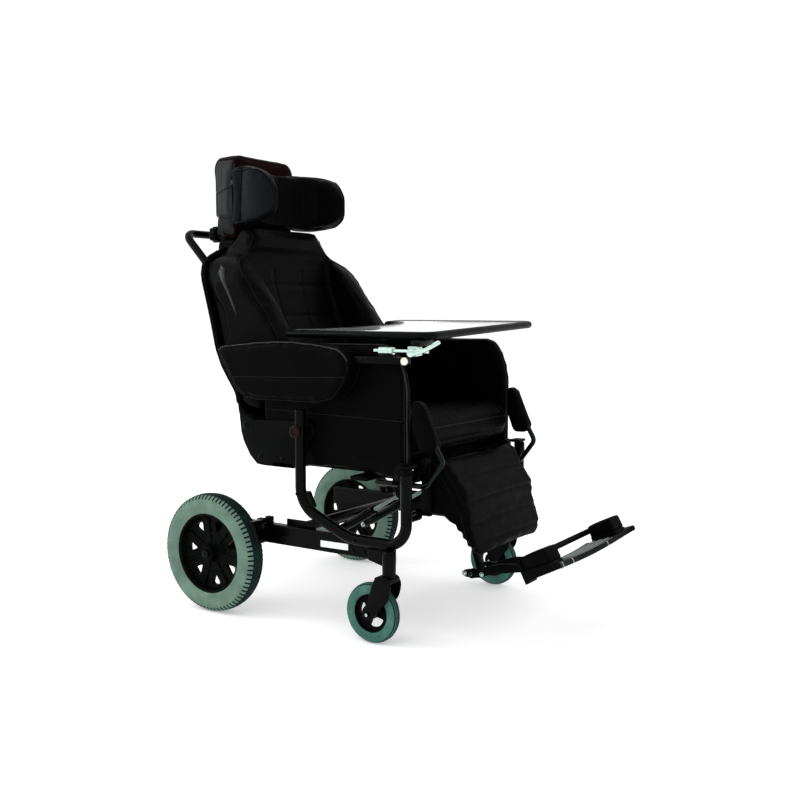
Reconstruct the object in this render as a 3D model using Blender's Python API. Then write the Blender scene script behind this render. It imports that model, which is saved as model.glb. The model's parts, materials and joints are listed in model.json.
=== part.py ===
"""Shell positioning wheelchair: wheeled base, tilting shell seat, reclining back,
wrap-round headrest, side armrests, one-sided tray, elevating legrest and foot box.

Metres, +Z up, occupant's left is +X, the chair faces -Y.
Working numbers below are taken from the rear axle (Y = 0) and the ground (Z = 0);
at the end everything moves by Y_SHIFT so that the origin is the middle of the
footprint on the ground.
"""
import math

import bmesh
import bpy
from mathutils import Matrix, Vector

# ---------------------------------------------------------------- dimensions
Y_SHIFT = 0.3760           # rear-axle frame to the middle of the footprint

REAR_R = 0.160             # rear wheel radius (12 1/2 inch)
REAR_SEC = 0.0305          # rear tyre half width
REAR_X = 0.327             # half rear track
CAST_R = 0.075             # caster radius (6 inch)
CAST_X = 0.314             # half caster track
SWIVEL_Y = -0.5617         # caster swivel axis
CAST_Y = -0.5145           # caster axle
BEAM_IN, BEAM_OUT = 0.257, 0.284
BEAM_Z0, BEAM_Z1 = 0.196, 0.2475
TUBE_R = 0.014             # side tube radius
TUBE_X = 0.300             # side tube half spacing
REAR_LEG_Y, FRONT_LEG_Y = -0.2805, -0.602
PIVOT = (-0.2805, 0.505)   # tilt axis (Y, Z)
BACK_H = (-0.075, 0.505)   # back recline axis
LEG_H = (-0.600, 0.440)    # legrest axis
STRUT_LO = (-0.215, 0.188)
STRUT_HI = (-0.445, 0.3255)
STRUT_X = 0.080
FOOT_H = (-0.643, 0.131)   # footplate axis
BRAKE_H = (-0.150, 0.256)  # brake axis
SHELL_HALF = 0.270
TRAY_ROD = (0.300, 0.715)  # half spacing, height of the tray rod
TRAY_TILT = math.radians(2.15)
TRAY_HALF = 0.280
GAP = 0.0003

for ob in list(bpy.data.objects):
    bpy.data.objects.remove(ob, do_unlink=True)

COL = bpy.context.scene.collection


# ---------------------------------------------------------------- materials
def material(name, rgb, rough, metal):
    m = bpy.data.materials.new(name)
    m.use_nodes = True
    b = m.node_tree.nodes["Principled BSDF"]
    b.inputs["Base Color"].default_value = (rgb[0], rgb[1], rgb[2], 1.0)
    b.inputs["Roughness"].default_value = rough
    b.inputs["Metallic"].default_value = metal
    return m


BLACK = (0.012, 0.012, 0.013)
FABRIC = (0.010, 0.010, 0.011)
RUBBER = (0.20, 0.25, 0.23)
CHROME = (0.78, 0.82, 0.80)
WHITE = (0.86, 0.88, 0.86)


# ---------------------------------------------------------------- mesh helpers
def finish_bm(bm):
    bmesh.ops.recalc_face_normals(bm, faces=bm.faces[:])
    return bm


def bevel_all(bm, width, seg=1, angle=30):
    if width <= 0:
        return bm
    edges = [e for e in bm.edges if len(e.link_faces) == 2
             and e.calc_face_angle(0.0) > math.radians(angle)]
    bmesh.ops.bevel(bm, geom=edges, offset=width, segments=seg, profile=0.5,
                    affect='EDGES', clamp_overlap=True)
    return bm


def prism(outline, axis, a, b, bevel=0.0, seg=1, angle=30):
    """Extrude a closed outline. axis X takes (Y, Z), Y takes (X, Z), Z takes (X, Y)."""
    bm = bmesh.new()
    lo, hi = min(a, b), max(a, b)

    def at(p, t):
        if axis == 'X':
            return Vector((t, p[0], p[1]))
        if axis == 'Y':
            return Vector((p[0], t, p[1]))
        return Vector((p[0], p[1], t))
    v0 = [bm.verts.new(at(p, lo)) for p in outline]
    v1 = [bm.verts.new(at(p, hi)) for p in outline]
    n = len(outline)
    bm.faces.new(v0)
    bm.faces.new(list(reversed(v1)))
    for i in range(n):
        j = (i + 1) % n
        bm.faces.new((v0[i], v1[i], v1[j], v0[j]))
    finish_bm(bm)
    return bevel_all(bm, bevel, seg, angle)


def box(x0, x1, y0, y1, z0, z1, bevel=0.0, seg=1):
    return prism([(y0, z0), (y1, z0), (y1, z1), (y0, z1)], 'X', x0, x1, bevel, seg)


def frame_for(p, q):
    d = (Vector(q) - Vector(p)).normalized()
    ref = Vector((1, 0, 0)) if abs(d.x) < 0.9 else Vector((0, 0, 1))
    u = d.cross(ref).normalized()
    return d, u, d.cross(u).normalized()


def spin_profile(p, q, profile, seg=16, close=False):
    """Revolve (t, r) points about the line p-q. t is measured from p."""
    bm = bmesh.new()
    d, u, w = frame_for(p, q)
    o = Vector(p)
    rings = []
    for t, r in profile:
        if r < 1e-7:
            rings.append([bm.verts.new(o + d * t)])
        else:
            rings.append([bm.verts.new(o + d * t + (u * math.cos(2 * math.pi * k / seg)
                          + w * math.sin(2 * math.pi * k / seg)) * r) for k in range(seg)])
    m = len(rings)
    for i in range(m if close else m - 1):
        a, b = rings[i], rings[(i + 1) % m]
        for k in range(seg):
            l = (k + 1) % seg
            if len(a) == 1 and len(b) > 1:
                bm.faces.new((a[0], b[k], b[l]))
            elif len(b) == 1 and len(a) > 1:
                bm.faces.new((a[k], b[0], a[l]))
            elif len(a) > 1:
                bm.faces.new((a[k], b[k], b[l], a[l]))
    if not close:
        for ring in (rings[0], rings[-1]):
            if len(ring) > 1:
                bm.faces.new(ring)
    return finish_bm(bm)


def rod(p, q, r, seg=14, chamfer=0.0):
    n = (Vector(q) - Vector(p)).length
    if chamfer > 0:
        prof = [(0, r - chamfer), (chamfer, r), (n - chamfer, r), (n, r - chamfer)]
    else:
        prof = [(0, r), (n, r)]
    return spin_profile(p, q, prof, seg)


def rod_x(x0, x1, yz, r, seg=14, chamfer=0.0):
    return rod((x0, yz[0], yz[1]), (x1, yz[0], yz[1]), r, seg, chamfer)


def fillet_path(points, radii, step=12.0):
    """Round the corners of a polyline; step is degrees of bend per segment."""
    pts = [Vector(p) for p in points]
    out = [pts[0]]
    for i in range(1, len(pts) - 1):
        r = radii[i - 1]
        a = (pts[i - 1] - pts[i]).normalized()
        b = (pts[i + 1] - pts[i]).normalized()
        turn = math.pi - a.angle(b)
        tan = r * math.tan(turn / 2)
        start, end = pts[i] + a * tan, pts[i] + b * tan
        mid = (a + b).normalized()
        centre = pts[i] + mid * math.hypot(r, tan)
        va, vb = start - centre, end - centre
        n = max(2, int(round(math.degrees(turn) / step)))
        axis = va.cross(vb).normalized()
        for k in range(n + 1):
            out.append(centre + Matrix.Rotation(turn * k / n, 3, axis) @ va)
    out.append(pts[-1])
    return out


def sweep(path, r, seg=10):
    """Round tube along a path, with parallel-carried rings and flat ends."""
    bm = bmesh.new()
    pts = [Vector(p) for p in path]
    n = len(pts)
    tang = []
    for i in range(n):
        a = pts[max(i - 1, 0)]
        b = pts[min(i + 1, n - 1)]
        t = (b - a).normalized()
        if 0 < i < n - 1:
            t = ((pts[i] - pts[i - 1]).normalized() + (pts[i + 1] - pts[i]).normalized()).normalized()
        tang.append(t)
    ref = Vector((1, 0, 0)) if abs(tang[0].x) < 0.8 else Vector((0, 0, 1))
    u = tang[0].cross(ref).normalized()
    rings = []
    for i in range(n):
        if i:
            q = tang[i - 1].rotation_difference(tang[i])
            u = q @ u
            u = (u - tang[i] * u.dot(tang[i])).normalized()
        w = tang[i].cross(u)
        rings.append([bm.verts.new(pts[i] + (u * math.cos(2 * math.pi * k / seg)
                      + w * math.sin(2 * math.pi * k / seg)) * r) for k in range(seg)])
    for i in range(n - 1):
        for k in range(seg):
            l = (k + 1) % seg
            bm.faces.new((rings[i][k], rings[i][l], rings[i + 1][l], rings[i + 1][k]))
    bm.faces.new(rings[0])
    bm.faces.new(rings[-1])
    return finish_bm(bm)


def merged(*bms):
    """Several closed shapes in one cutter mesh."""
    out = bmesh.new()
    for bm in bms:
        me = bpy.data.meshes.new("tmp")
        bm.to_mesh(me)
        out.from_mesh(me)
        bm.free()
    return out


def turned(bm, angle, point, axis):
    m = Matrix.Translation(Vector(point)) @ Matrix.Rotation(angle, 4, axis) @ Matrix.Translation(-Vector(point))
    bmesh.ops.transform(bm, matrix=m, verts=bm.verts[:])
    return bm


def round_poly(points, r, step=22.5):
    """Round every corner of a closed 2-D outline with radius r (or a list of radii)."""
    n = len(points)
    rr = r if isinstance(r, (list, tuple)) else [r] * n
    out = []
    for i in range(n):
        p = Vector((points[i][0], points[i][1], 0))
        a = Vector((points[i - 1][0], points[i - 1][1], 0)) - p
        b = Vector((points[(i + 1) % n][0], points[(i + 1) % n][1], 0)) - p
        la, lb = a.length, b.length
        a.normalize()
        b.normalize()
        turn = math.pi - a.angle(b)
        rad = rr[i]
        tan = rad * math.tan(turn / 2)
        lim = 0.48 * min(la, lb)
        if tan > lim:
            rad *= lim / tan
            tan = lim
        if rad < 1e-5 or turn < 0.05:
            out.append((p.x, p.y))
            continue
        centre = p + (a + b).normalized() * math.hypot(rad, tan)
        va = p + a * tan - centre
        vb = p + b * tan - centre
        k = max(1, int(round(math.degrees(turn) / step)))
        ax = va.cross(vb).normalized()
        for j in range(k + 1):
            c = centre + Matrix.Rotation(turn * j / k, 3, ax) @ va
            out.append((c.x, c.y))
    return out


# ---------------------------------------------------------------- objects
EMPTY_AT = {}


def body(name, at, parent=None):
    """An empty on a joint's axis; pieces that move together hang from it."""
    e = bpy.data.objects.new(name, None)
    e.empty_display_size = 0.03
    COL.objects.link(e)
    base = EMPTY_AT[parent][1] if parent else Vector((0, 0, 0))
    if parent:
        e.parent = EMPTY_AT[parent][0]
    e.location = Vector(at) - base
    EMPTY_AT[name] = (e, Vector(at))
    return name


def helper(name, bm):
    me = bpy.data.meshes.new(name)
    bm.to_mesh(me)
    bm.free()
    ob = bpy.data.objects.new(name, me)
    COL.objects.link(ob)
    ob.hide_render = True
    ob.display_type = 'WIRE'
    return ob


def piece(name, bm, mat, on=None, add=(), cut=(), keep=(), sharp=35):
    """One physical piece: base shape, shapes joined on, shapes cut away."""
    origin = EMPTY_AT[on][1] if on else Vector((0, 0, 0))
    bmesh.ops.translate(bm, vec=-origin, verts=bm.verts[:])
    me = bpy.data.meshes.new(name)
    bm.to_mesh(me)
    bm.free()
    for p in me.polygons:
        p.use_smooth = True
    me.set_sharp_from_angle(angle=math.radians(sharp))
    me.materials.append(mat)
    ob = bpy.data.objects.new(name, me)
    COL.objects.link(ob)
    if on:
        ob.parent = EMPTY_AT[on][0]
    k = 0
    for op, shapes in (('UNION', add), ('INTERSECT', keep), ('DIFFERENCE', cut)):
        for s in shapes:
            h = helper("%s_tool_%d" % (name, k), s)
            mod = ob.modifiers.new("%s_%d" % (op.lower(), k), 'BOOLEAN')
            mod.operation = op
            mod.solver = 'EXACT'
            mod.object = h
            k += 1
    return ob


def side(s):
    return "R" if s < 0 else "L"


def yz_circle(c, r, n, a0=0.0, a1=360.0):
    return [(c[0] + r * math.cos(math.radians(a0 + (a1 - a0) * k / n)),
             c[1] + r * math.sin(math.radians(a0 + (a1 - a0) * k / n))) for k in range(n + 1)]


# ---------------------------------------------------------------- chassis
def make_chassis():
    frame_paint = material("frame_black", BLACK, 0.38, 0.25)
    for s in (-1, 1):
        n = side(s)
        beam = prism(round_poly([(0.035, BEAM_Z0), (0.035, BEAM_Z1), (-0.490, BEAM_Z1), (-0.490, BEAM_Z0)],
                                [0.004, 0.004, 0.016, 0.012]), 'X', s * BEAM_IN, s * BEAM_OUT, 0.005, 2)
        bracket = prism([(-0.085, 0.203), (0.028, 0.203), (0.024, 0.160), (0.017, 0.144), (0.004, 0.137),
                         (-0.010, 0.139), (-0.022, 0.150)], 'X', s * 0.263, s * 0.279)
        boss = rod_x(s * 0.2500, s * 0.2966, (0.0, 0.160), 0.017, 16)
        lug = box(*sorted((s * 0.263, s * 0.279)), -0.160, -0.140, 0.240, 0.2655, 0.002)
        strap = box(*sorted((s * 0.261, s * 0.267)), -0.300, -0.205, 0.2400, 0.2640, 0.002)
        spacer = box(*sorted((s * 0.281, s * 0.2857)), -0.480, -0.440, 0.232, 0.2445)
        piece("beam_" + n, beam, frame_paint, add=(bracket, boss, lug, strap, spacer),
              cut=(rod_x(s * 0.240, s * 0.300, (0.0, 0.160), 0.0065, 14),
                   rod_x(s * 0.250, s * 0.290, BRAKE_H, 0.0056, 14)))

        path = fillet_path([(s * TUBE_X, REAR_LEG_Y, 0.560), (s * TUBE_X, REAR_LEG_Y, 0.3136),
                            (s * TUBE_X, -0.4350, 0.2450), (s * TUBE_X, FRONT_LEG_Y, 0.2450),
                            (s * TUBE_X, FRONT_LEG_Y, 0.420)], [0.075, 0.150, 0.055], 13)
        web = prism([(-0.2880, 0.3500), (-0.3110, 0.3530), (-0.3300, 0.3160), (-0.3130, 0.3000)],
                    'X', s * 0.2960, s * 0.3040)
        piece("side_tube_" + n, sweep(path, TUBE_R, 12), frame_paint, add=(web,),
              cut=(rod_x(s * 0.280, s * 0.320, PIVOT, 0.0085, 14),))

        stem = (s * CAST_X, SWIVEL_Y)
        housing = spin_profile((stem[0], stem[1], 0.174), (stem[0], stem[1], 0.2306),
                               [(0, 0.0168), (0.0566, 0.0168), (0.0566, 0.0085), (0, 0.0085)], 20, True)
        gusset = prism([(-0.4906, 0.2290), (-0.5520, 0.2290), (-0.5520, 0.1880), (-0.5400, 0.1880),
                        (-0.4906, 0.2000)], 'X', s * 0.266, s * 0.303)
        piece("caster_housing_" + n, gusset, material("housing_black", BLACK, 0.35, 0.3),
              add=(housing,), cut=(rod((stem[0], stem[1], 0.16), (stem[0], stem[1], 0.24), 0.0085, 20),))

        pin = rod_x(s * 0.2780, s * 0.3200, PIVOT, 0.008, 16)
        head = rod_x(s * 0.3145, s * 0.3265, PIVOT, 0.016, 18, 0.003)
        piece("tilt_pin_" + n, pin, material("pin_black", (0.03, 0.015, 0.014), 0.3, 0.4), add=(head,))
        piece("rest_buffer_" + n, rod((s * TUBE_X, FRONT_LEG_Y, 0.4203), (s * TUBE_X, FRONT_LEG_Y, 0.4347),
                                      0.0152, 16, 0.003), material("buffer_rubber", (0.02, 0.02, 0.02), 0.8, 0.0))

    cross = rod_x(-0.2567, 0.2567, (-0.215, 0.231), 0.014, 14)
    parts = []
    for x in (-STRUT_X, STRUT_X):
        for c in (-0.010, 0.010):
            parts.append(prism([(-0.226, 0.231), (-0.204, 0.231), (-0.204, 0.190), (-0.208, 0.180),
                                (-0.215, 0.1765), (-0.222, 0.180), (-0.226, 0.190)], 'X', x + c - 0.002, x + c + 0.002))
        parts.append(rod_x(x - 0.0135, x + 0.0135, STRUT_LO, 0.004, 12))
    piece("rear_cross_tube", cross, material("cross_black", BLACK, 0.4, 0.25), add=parts)
    bow = [(-0.2857, FRONT_LEG_Y, 0.309), (-0.2300, FRONT_LEG_Y, 0.309), (-0.2300, -0.5510, 0.300),
           (0.2300, -0.5510, 0.300), (0.2300, FRONT_LEG_Y, 0.309), (0.2857, FRONT_LEG_Y, 0.309)]
    piece("front_cross_tube", sweep(fillet_path(bow, [0.016, 0.016, 0.016, 0.016], 22), 0.0075, 12),
          material("cross_front_black", BLACK, 0.4, 0.25))


# ---------------------------------------------------------------- wheels
def make_wheels():
    rubber = material("tyre_grey", RUBBER, 0.75, 0.0)
    black = material("rim_black", BLACK, 0.45, 0.0)
    steel = material("axle_steel", CHROME, 0.25, 1.0)
    for s in (-1, 1):
        n = side(s)
        b = body("rear_wheel_" + n, (s * REAR_X, 0.0, REAR_R))
        c0, c1 = (s * REAR_X - 0.5, 0.0, REAR_R), (s * REAR_X + 0.5, 0.0, REAR_R)
        h = REAR_SEC
        prof = [(0.5 - 0.0200, 0.1146), (0.5 - 0.0285, 0.1220), (0.5 - h, 0.1345), (0.5 - 0.0265, 0.1475),
                (0.5 - 0.0170, 0.1565), (0.5 - 0.0060, 0.1600), (0.5 + 0.0060, 0.1600), (0.5 + 0.0170, 0.1565),
                (0.5 + 0.0265, 0.1475), (0.5 + h, 0.1345), (0.5 + 0.0285, 0.1220), (0.5 + 0.0200, 0.1146)]
        piece("rear_tyre_" + n, spin_profile(c0, c1, prof, 40, True), rubber, on=b)
        prof = [(0.5 - 0.0295, 0.0066), (0.5 - 0.0295, 0.0210), (0.5 - 0.0060, 0.0240), (0.5 - 0.0050, 0.1000),
                (0.5 - 0.0240, 0.1050), (0.5 - 0.0240, 0.1142), (0.5 + 0.0240, 0.1142), (0.5 + 0.0240, 0.1050),
                (0.5 + 0.0050, 0.1000), (0.5 + 0.0060, 0.0240), (0.5 + 0.0295, 0.0210), (0.5 + 0.0295, 0.0066)]
        wins = []
        for k in range(7):
            a = 2 * math.pi * k / 7 + 0.30
            ca, sa = math.cos(a), math.sin(a)
            loc = [(0.050, -0.005), (0.083, -0.017), (0.091, -0.013), (0.092, 0.013), (0.083, 0.017), (0.050, 0.005)]
            pts = [(r * ca - t * sa, REAR_R + r * sa + t * ca) for r, t in loc]
            wins.append(prism(pts, 'X', s * REAR_X - 0.02, s * REAR_X + 0.02))
        piece("rear_rim_" + n, spin_profile(c0, c1, prof, 40, True), black, on=b, cut=(merged(*wins),))
        shaft = rod_x(s * 0.2430, s * 0.3620, (0.0, REAR_R), 0.0060, 14)
        piece("rear_axle_" + n, shaft, steel,
              add=(rod_x(s * 0.2440, s * 0.2497, (0.0, REAR_R), 0.0105, 6),
                   rod_x(s * 0.3570, s * 0.3630, (0.0, REAR_R), 0.0105, 16, 0.002)))

        fk = body("caster_swivel_" + n, (s * CAST_X, SWIVEL_Y, 0.165))
        xc = s * CAST_X
        leg = [(-0.534, 0.1640), (-0.548, 0.1700), (-0.568, 0.1700), (-0.579, 0.1580), (-0.5800, 0.1420),
               (-0.573, 0.1180), (-0.556, 0.0980), (-0.533, 0.0700), (-0.524, 0.0620), (-0.508, 0.0610),
               (-0.499, 0.0720), (-0.501, 0.0880), (-0.514, 0.1050), (-0.523, 0.1350)]
        leg_a = prism(leg, 'X', xc - 0.0255, xc - 0.0198)
        leg_b = prism(leg, 'X', xc + 0.0198, xc + 0.0255)
        crown = prism([(-0.532, 0.1570), (-0.578, 0.1570), (-0.577, 0.1680), (-0.568, 0.1733), (-0.550, 0.1733),
                       (-0.536, 0.1690)], 'X', xc - 0.0240, xc + 0.0240)
        stem = rod((xc, SWIVEL_Y, 0.168), (xc, SWIVEL_Y, 0.2280), 0.0080, 16)
        piece("caster_fork_" + n, crown, material("fork_black", BLACK, 0.4, 0.1), on=fk,
              add=(stem, leg_a, leg_b), cut=(rod_x(xc - 0.04, xc + 0.04, (CAST_Y, CAST_R), 0.0044, 12),))
        shaft = rod_x(xc - 0.0300, xc + 0.0300, (CAST_Y, CAST_R), 0.0040, 12)
        piece("caster_axle_" + n, shaft, steel, on=fk,
              add=(rod_x(xc - 0.0310, xc - 0.0258, (CAST_Y, CAST_R), 0.0078, 12, 0.001),
                   rod_x(xc + 0.0258, xc + 0.0310, (CAST_Y, CAST_R), 0.0078, 12, 0.001)))
        cw = body("caster_wheel_" + n, (xc, CAST_Y, CAST_R), "caster_swivel_" + n)
        c0, c1 = (xc - 0.5, CAST_Y, CAST_R), (xc + 0.5, CAST_Y, CAST_R)
        prof = [(0.4890, 0.0484), (0.4870, 0.0560), (0.4860, 0.0630), (0.4885, 0.0700), (0.4945, 0.0745),
                (0.5, 0.0750), (0.5055, 0.0745), (0.5115, 0.0700), (0.5140, 0.0630), (0.5130, 0.0560), (0.5110, 0.0484)]
        piece("caster_tyre_" + n, spin_profile(c0, c1, prof, 28, True), rubber, on=cw)
        prof = [(0.5 - 0.0170, 0.0044), (0.5 - 0.0170, 0.0125), (0.5 - 0.0040, 0.0140), (0.5 - 0.0035, 0.0425),
                (0.5 - 0.0120, 0.0445), (0.5 - 0.0120, 0.0480), (0.5 + 0.0120, 0.0480), (0.5 + 0.0120, 0.0445),
                (0.5 + 0.0035, 0.0425), (0.5 + 0.0040, 0.0140), (0.5 + 0.0170, 0.0125), (0.5 + 0.0170, 0.0044)]
        wins = []
        for k in range(5):
            a = 2 * math.pi * k / 5 + 0.4
            ca, sa = math.cos(a), math.sin(a)
            loc = [(0.019, -0.005), (0.037, -0.0125), (0.039, 0.0), (0.037, 0.0125), (0.019, 0.005)]
            pts = [(CAST_Y + r * ca - t * sa, CAST_R + r * sa + t * ca) for r, t in loc]
            wins.append(prism(pts, 'X', xc - 0.01, xc + 0.01))
        piece("caster_rim_" + n, spin_profile(c0, c1, prof, 28, True), black, on=cw, cut=(merged(*wins),))

        br = body("brake_" + n, (s * 0.271, BRAKE_H[0], BRAKE_H[1]))
        shaft = rod_x(s * 0.2590, s * 0.3450, BRAKE_H, 0.0050, 12)
        pedal = prism(round_poly([(-0.128, 0.2500), (-0.120, 0.2640), (-0.146, 0.2690), (-0.171, 0.2660), (-0.166, 0.2500)],
                                 0.004), 'X', s * 0.2850, s * 0.2960)
        shoe = prism([(-0.143, 0.2620), (-0.156, 0.2620), (-0.172, 0.222), (-0.172, 0.205), (-0.1665, 0.205),
                      (-0.1605, 0.222)], 'X', s * 0.3060, s * 0.3430)
        piece("brake_pedal_" + n, shaft, material("brake_black", BLACK, 0.5, 0.1), on=br, add=(pedal, shoe))


# ---------------------------------------------------------------- seat
def make_seat():
    paint = material("seat_frame_black", BLACK, 0.42, 0.25)
    b = body("seat_unit", (0.0, PIVOT[0], PIVOT[1]))
    base = box(-0.2775, 0.2775, -0.238, -0.168, 0.4012, 0.4130)
    add = [box(-0.2775, 0.2775, -0.580, -0.545, 0.3880, 0.3990),
           box(-0.2775, 0.2775, -0.470, -0.420, 0.3890, 0.3990)]
    for s in (-1, 1):
        add.append(box(*sorted((s * 0.190, s * 0.215)), -0.578, -0.170, 0.4005, 0.4125))
        add.append(box(*sorted((s * 0.191, s * 0.214)), -0.577, -0.4210, 0.3900, 0.4060))
        add.append(prism([(-0.2400, 0.4012), (-0.1400, 0.4012), (-0.1150, 0.4030), (-0.0900, 0.4250), (-0.0680, 0.4620),
                          (-0.0600, 0.4850), (-0.0570, 0.5080), (-0.0600, 0.5230), (-0.0700, 0.5300), (-0.0850, 0.5290),
                          (-0.1050, 0.5200), (-0.2600, 0.5270), (-0.2700, 0.5320), (-0.2900, 0.5320), (-0.3060, 0.5180),
                          (-0.3090, 0.5000), (-0.3000, 0.4850)],
                         'X', s * 0.2725, s * 0.2775))
        add.append(prism([(-0.580, 0.3885), (-0.545, 0.3885), (-0.552, 0.4300), (-0.570, 0.4440), (-0.616, 0.4440),
                          (-0.616, 0.4353), (-0.586, 0.4353)], 'X', s * 0.2725, s * 0.2775))
        add.append(box(*sorted((s * 0.2740, s * 0.3140)), -0.615, -0.585, 0.4355, 0.4430))
        add.append(prism([(-0.548, 0.3890), (-0.578, 0.3890), (-0.612, 0.4280), (-0.6135, 0.4400), (-0.608, 0.4510),
                          (-0.597, 0.4530), (-0.588, 0.4470), (-0.578, 0.4250), (-0.568, 0.4110)],
                         'X', s * 0.2180, s * 0.2260))
        add.append(rod_x(s * 0.2030, s * 0.2240, LEG_H, 0.0050, 12))
        add.append(rod_x(s * 0.2625, s * 0.2760, BACK_H, 0.0060, 12))
        add.append(box(*sorted((s * 0.2385, s * 0.2615)), -0.5800, -0.5500, 0.3750, 0.3985))
        for c in (-0.010, 0.010):
            add.append(prism([(-0.425, 0.3950), (-0.465, 0.3950), (-0.457, 0.3260), (-0.453, 0.3180), (-0.445, 0.3140),
                              (-0.437, 0.3180), (-0.433, 0.3260)], 'X', s * STRUT_X + c - 0.002, s * STRUT_X + c + 0.002))
        add.append(rod_x(s * STRUT_X - 0.0115, s * STRUT_X + 0.0115, STRUT_HI, 0.0040, 12))
    cuts = [rod((s * 0.250, -0.600, 0.386), (s * 0.250, -0.530, 0.386), 0.0075, 12) for s in (-1, 1)]
    piece("seat_frame", base, paint, on=b, add=add, cut=cuts)

    outer = prism([(-0.300, 0.4070), (-0.240, 0.4000), (-0.116, 0.4020), (-0.085, 0.4230), (-0.0640, 0.4520),
                   (-0.0620, 0.4595), (-0.100, 0.4610),
                   (-0.125, 0.4780), (-0.125, 0.6050), (-0.190, 0.6070), (-0.195, 0.7340), (-0.518, 0.7345),
                   (-0.546, 0.7240), (-0.567, 0.6940), (-0.582, 0.6560), (-0.5895, 0.6150), (-0.5895, 0.4000), (-0.480, 0.4030), (-0.370, 0.4100)],
                  'X', -SHELL_HALF, SHELL_HALF, 0.0, 1)
    cavity = prism([(-0.640, 0.3700), (-0.560, 0.3700), (-0.560, 0.4300), (-0.108, 0.4300), (-0.108, 0.4900),
                    (-0.115, 0.7700), (-0.640, 0.7700)], 'X', -0.245, 0.245)
    notch = box(-0.240, 0.240, -0.640, -0.140, 0.3600, 0.4143)
    slot = box(-0.300, 0.300, -0.242, -0.164, 0.3700, 0.4146)
    piece("seat_shell", outer, material("shell_upholstery", FABRIC, 0.5, 0.0), on=b, cut=(cavity, notch, slot))

    cushion = prism([(-0.5585, 0.4305), (-0.1130, 0.4305), (-0.1130, 0.4920), (-0.1290, 0.5050), (-0.1290, 0.5430),
                     (-0.3000, 0.5340), (-0.5000, 0.5550), (-0.5750, 0.5510), (-0.6000, 0.5330), (-0.6060, 0.5000),
                     (-0.5990, 0.4660), (-0.5620, 0.4600)], 'X', -0.2440, 0.2440, 0.006, 1)
    ears = [box(*sorted((s * 0.2343, s * 0.2600)), -0.640, -0.5858, 0.440, 0.600) for s in (-1, 1)]
    piece("seat_cushion", cushion, material("cushion_black", FABRIC, 0.55, 0.0), on=b, cut=(merged(*ears),))

    steel = material("strut_rod_steel", (0.30, 0.31, 0.31), 0.25, 1.0)
    tube = material("strut_black", BLACK, 0.3, 0.3)
    length = math.hypot(STRUT_HI[0] - STRUT_LO[0], STRUT_HI[1] - STRUT_LO[1])
    for s in (-1, 1):
        n = side(s)
        x = s * STRUT_X
        p, q = (x, STRUT_LO[0], STRUT_LO[1]), (x, STRUT_HI[0], STRUT_HI[1])
        cb = body("strut_" + n, p)
        shell = spin_profile(p, q, [(0.0065, 0.0), (0.0065, 0.0070), (0.0175, 0.0070), (0.0205, 0.0115), (0.1620, 0.0115), (0.1650, 0.0100),
                                    (0.1650, 0.0056), (0.0400, 0.0056), (0.0400, 0.0)], 16)
        piece("strut_cylinder_" + n, shell, tube, on=cb, add=(rod_x(x - 0.0065, x + 0.0065, STRUT_LO, 0.0090, 16),),
              cut=(rod_x(x - 0.02, x + 0.02, STRUT_LO, 0.0045, 12),))
        d = Vector(q) - Vector(p)
        d.normalize()
        a = Vector(p) + d * 0.050
        e = Vector(p) + d * (length - 0.0085)
        rb = body("strut_rod_" + n, q, "strut_" + n)
        piece("strut_piston_" + n, rod(a, e, 0.0050, 12), steel, on=rb,
              add=(rod_x(x - 0.0055, x + 0.0055, STRUT_HI, 0.0105, 16),),
              cut=(rod_x(x - 0.02, x + 0.02, STRUT_HI, 0.0075, 12),))


# ---------------------------------------------------------------- back, head
SHOULDER = [(0.268, 0.440), (0.268, 0.895), (0.263, 0.922), (0.251, 0.945), (0.230, 0.961), (0.199, 0.975),
            (0.174, 0.992), (0.157, 1.013), (0.147, 1.034), (0.141, 1.048)]


def shoulder_mask(shrink):
    right = [(x - shrink, z) for x, z in SHOULDER]
    left = [(-x, z) for x, z in reversed(right)]
    return prism(right + left, 'Y', -0.35, 0.25)


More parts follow.
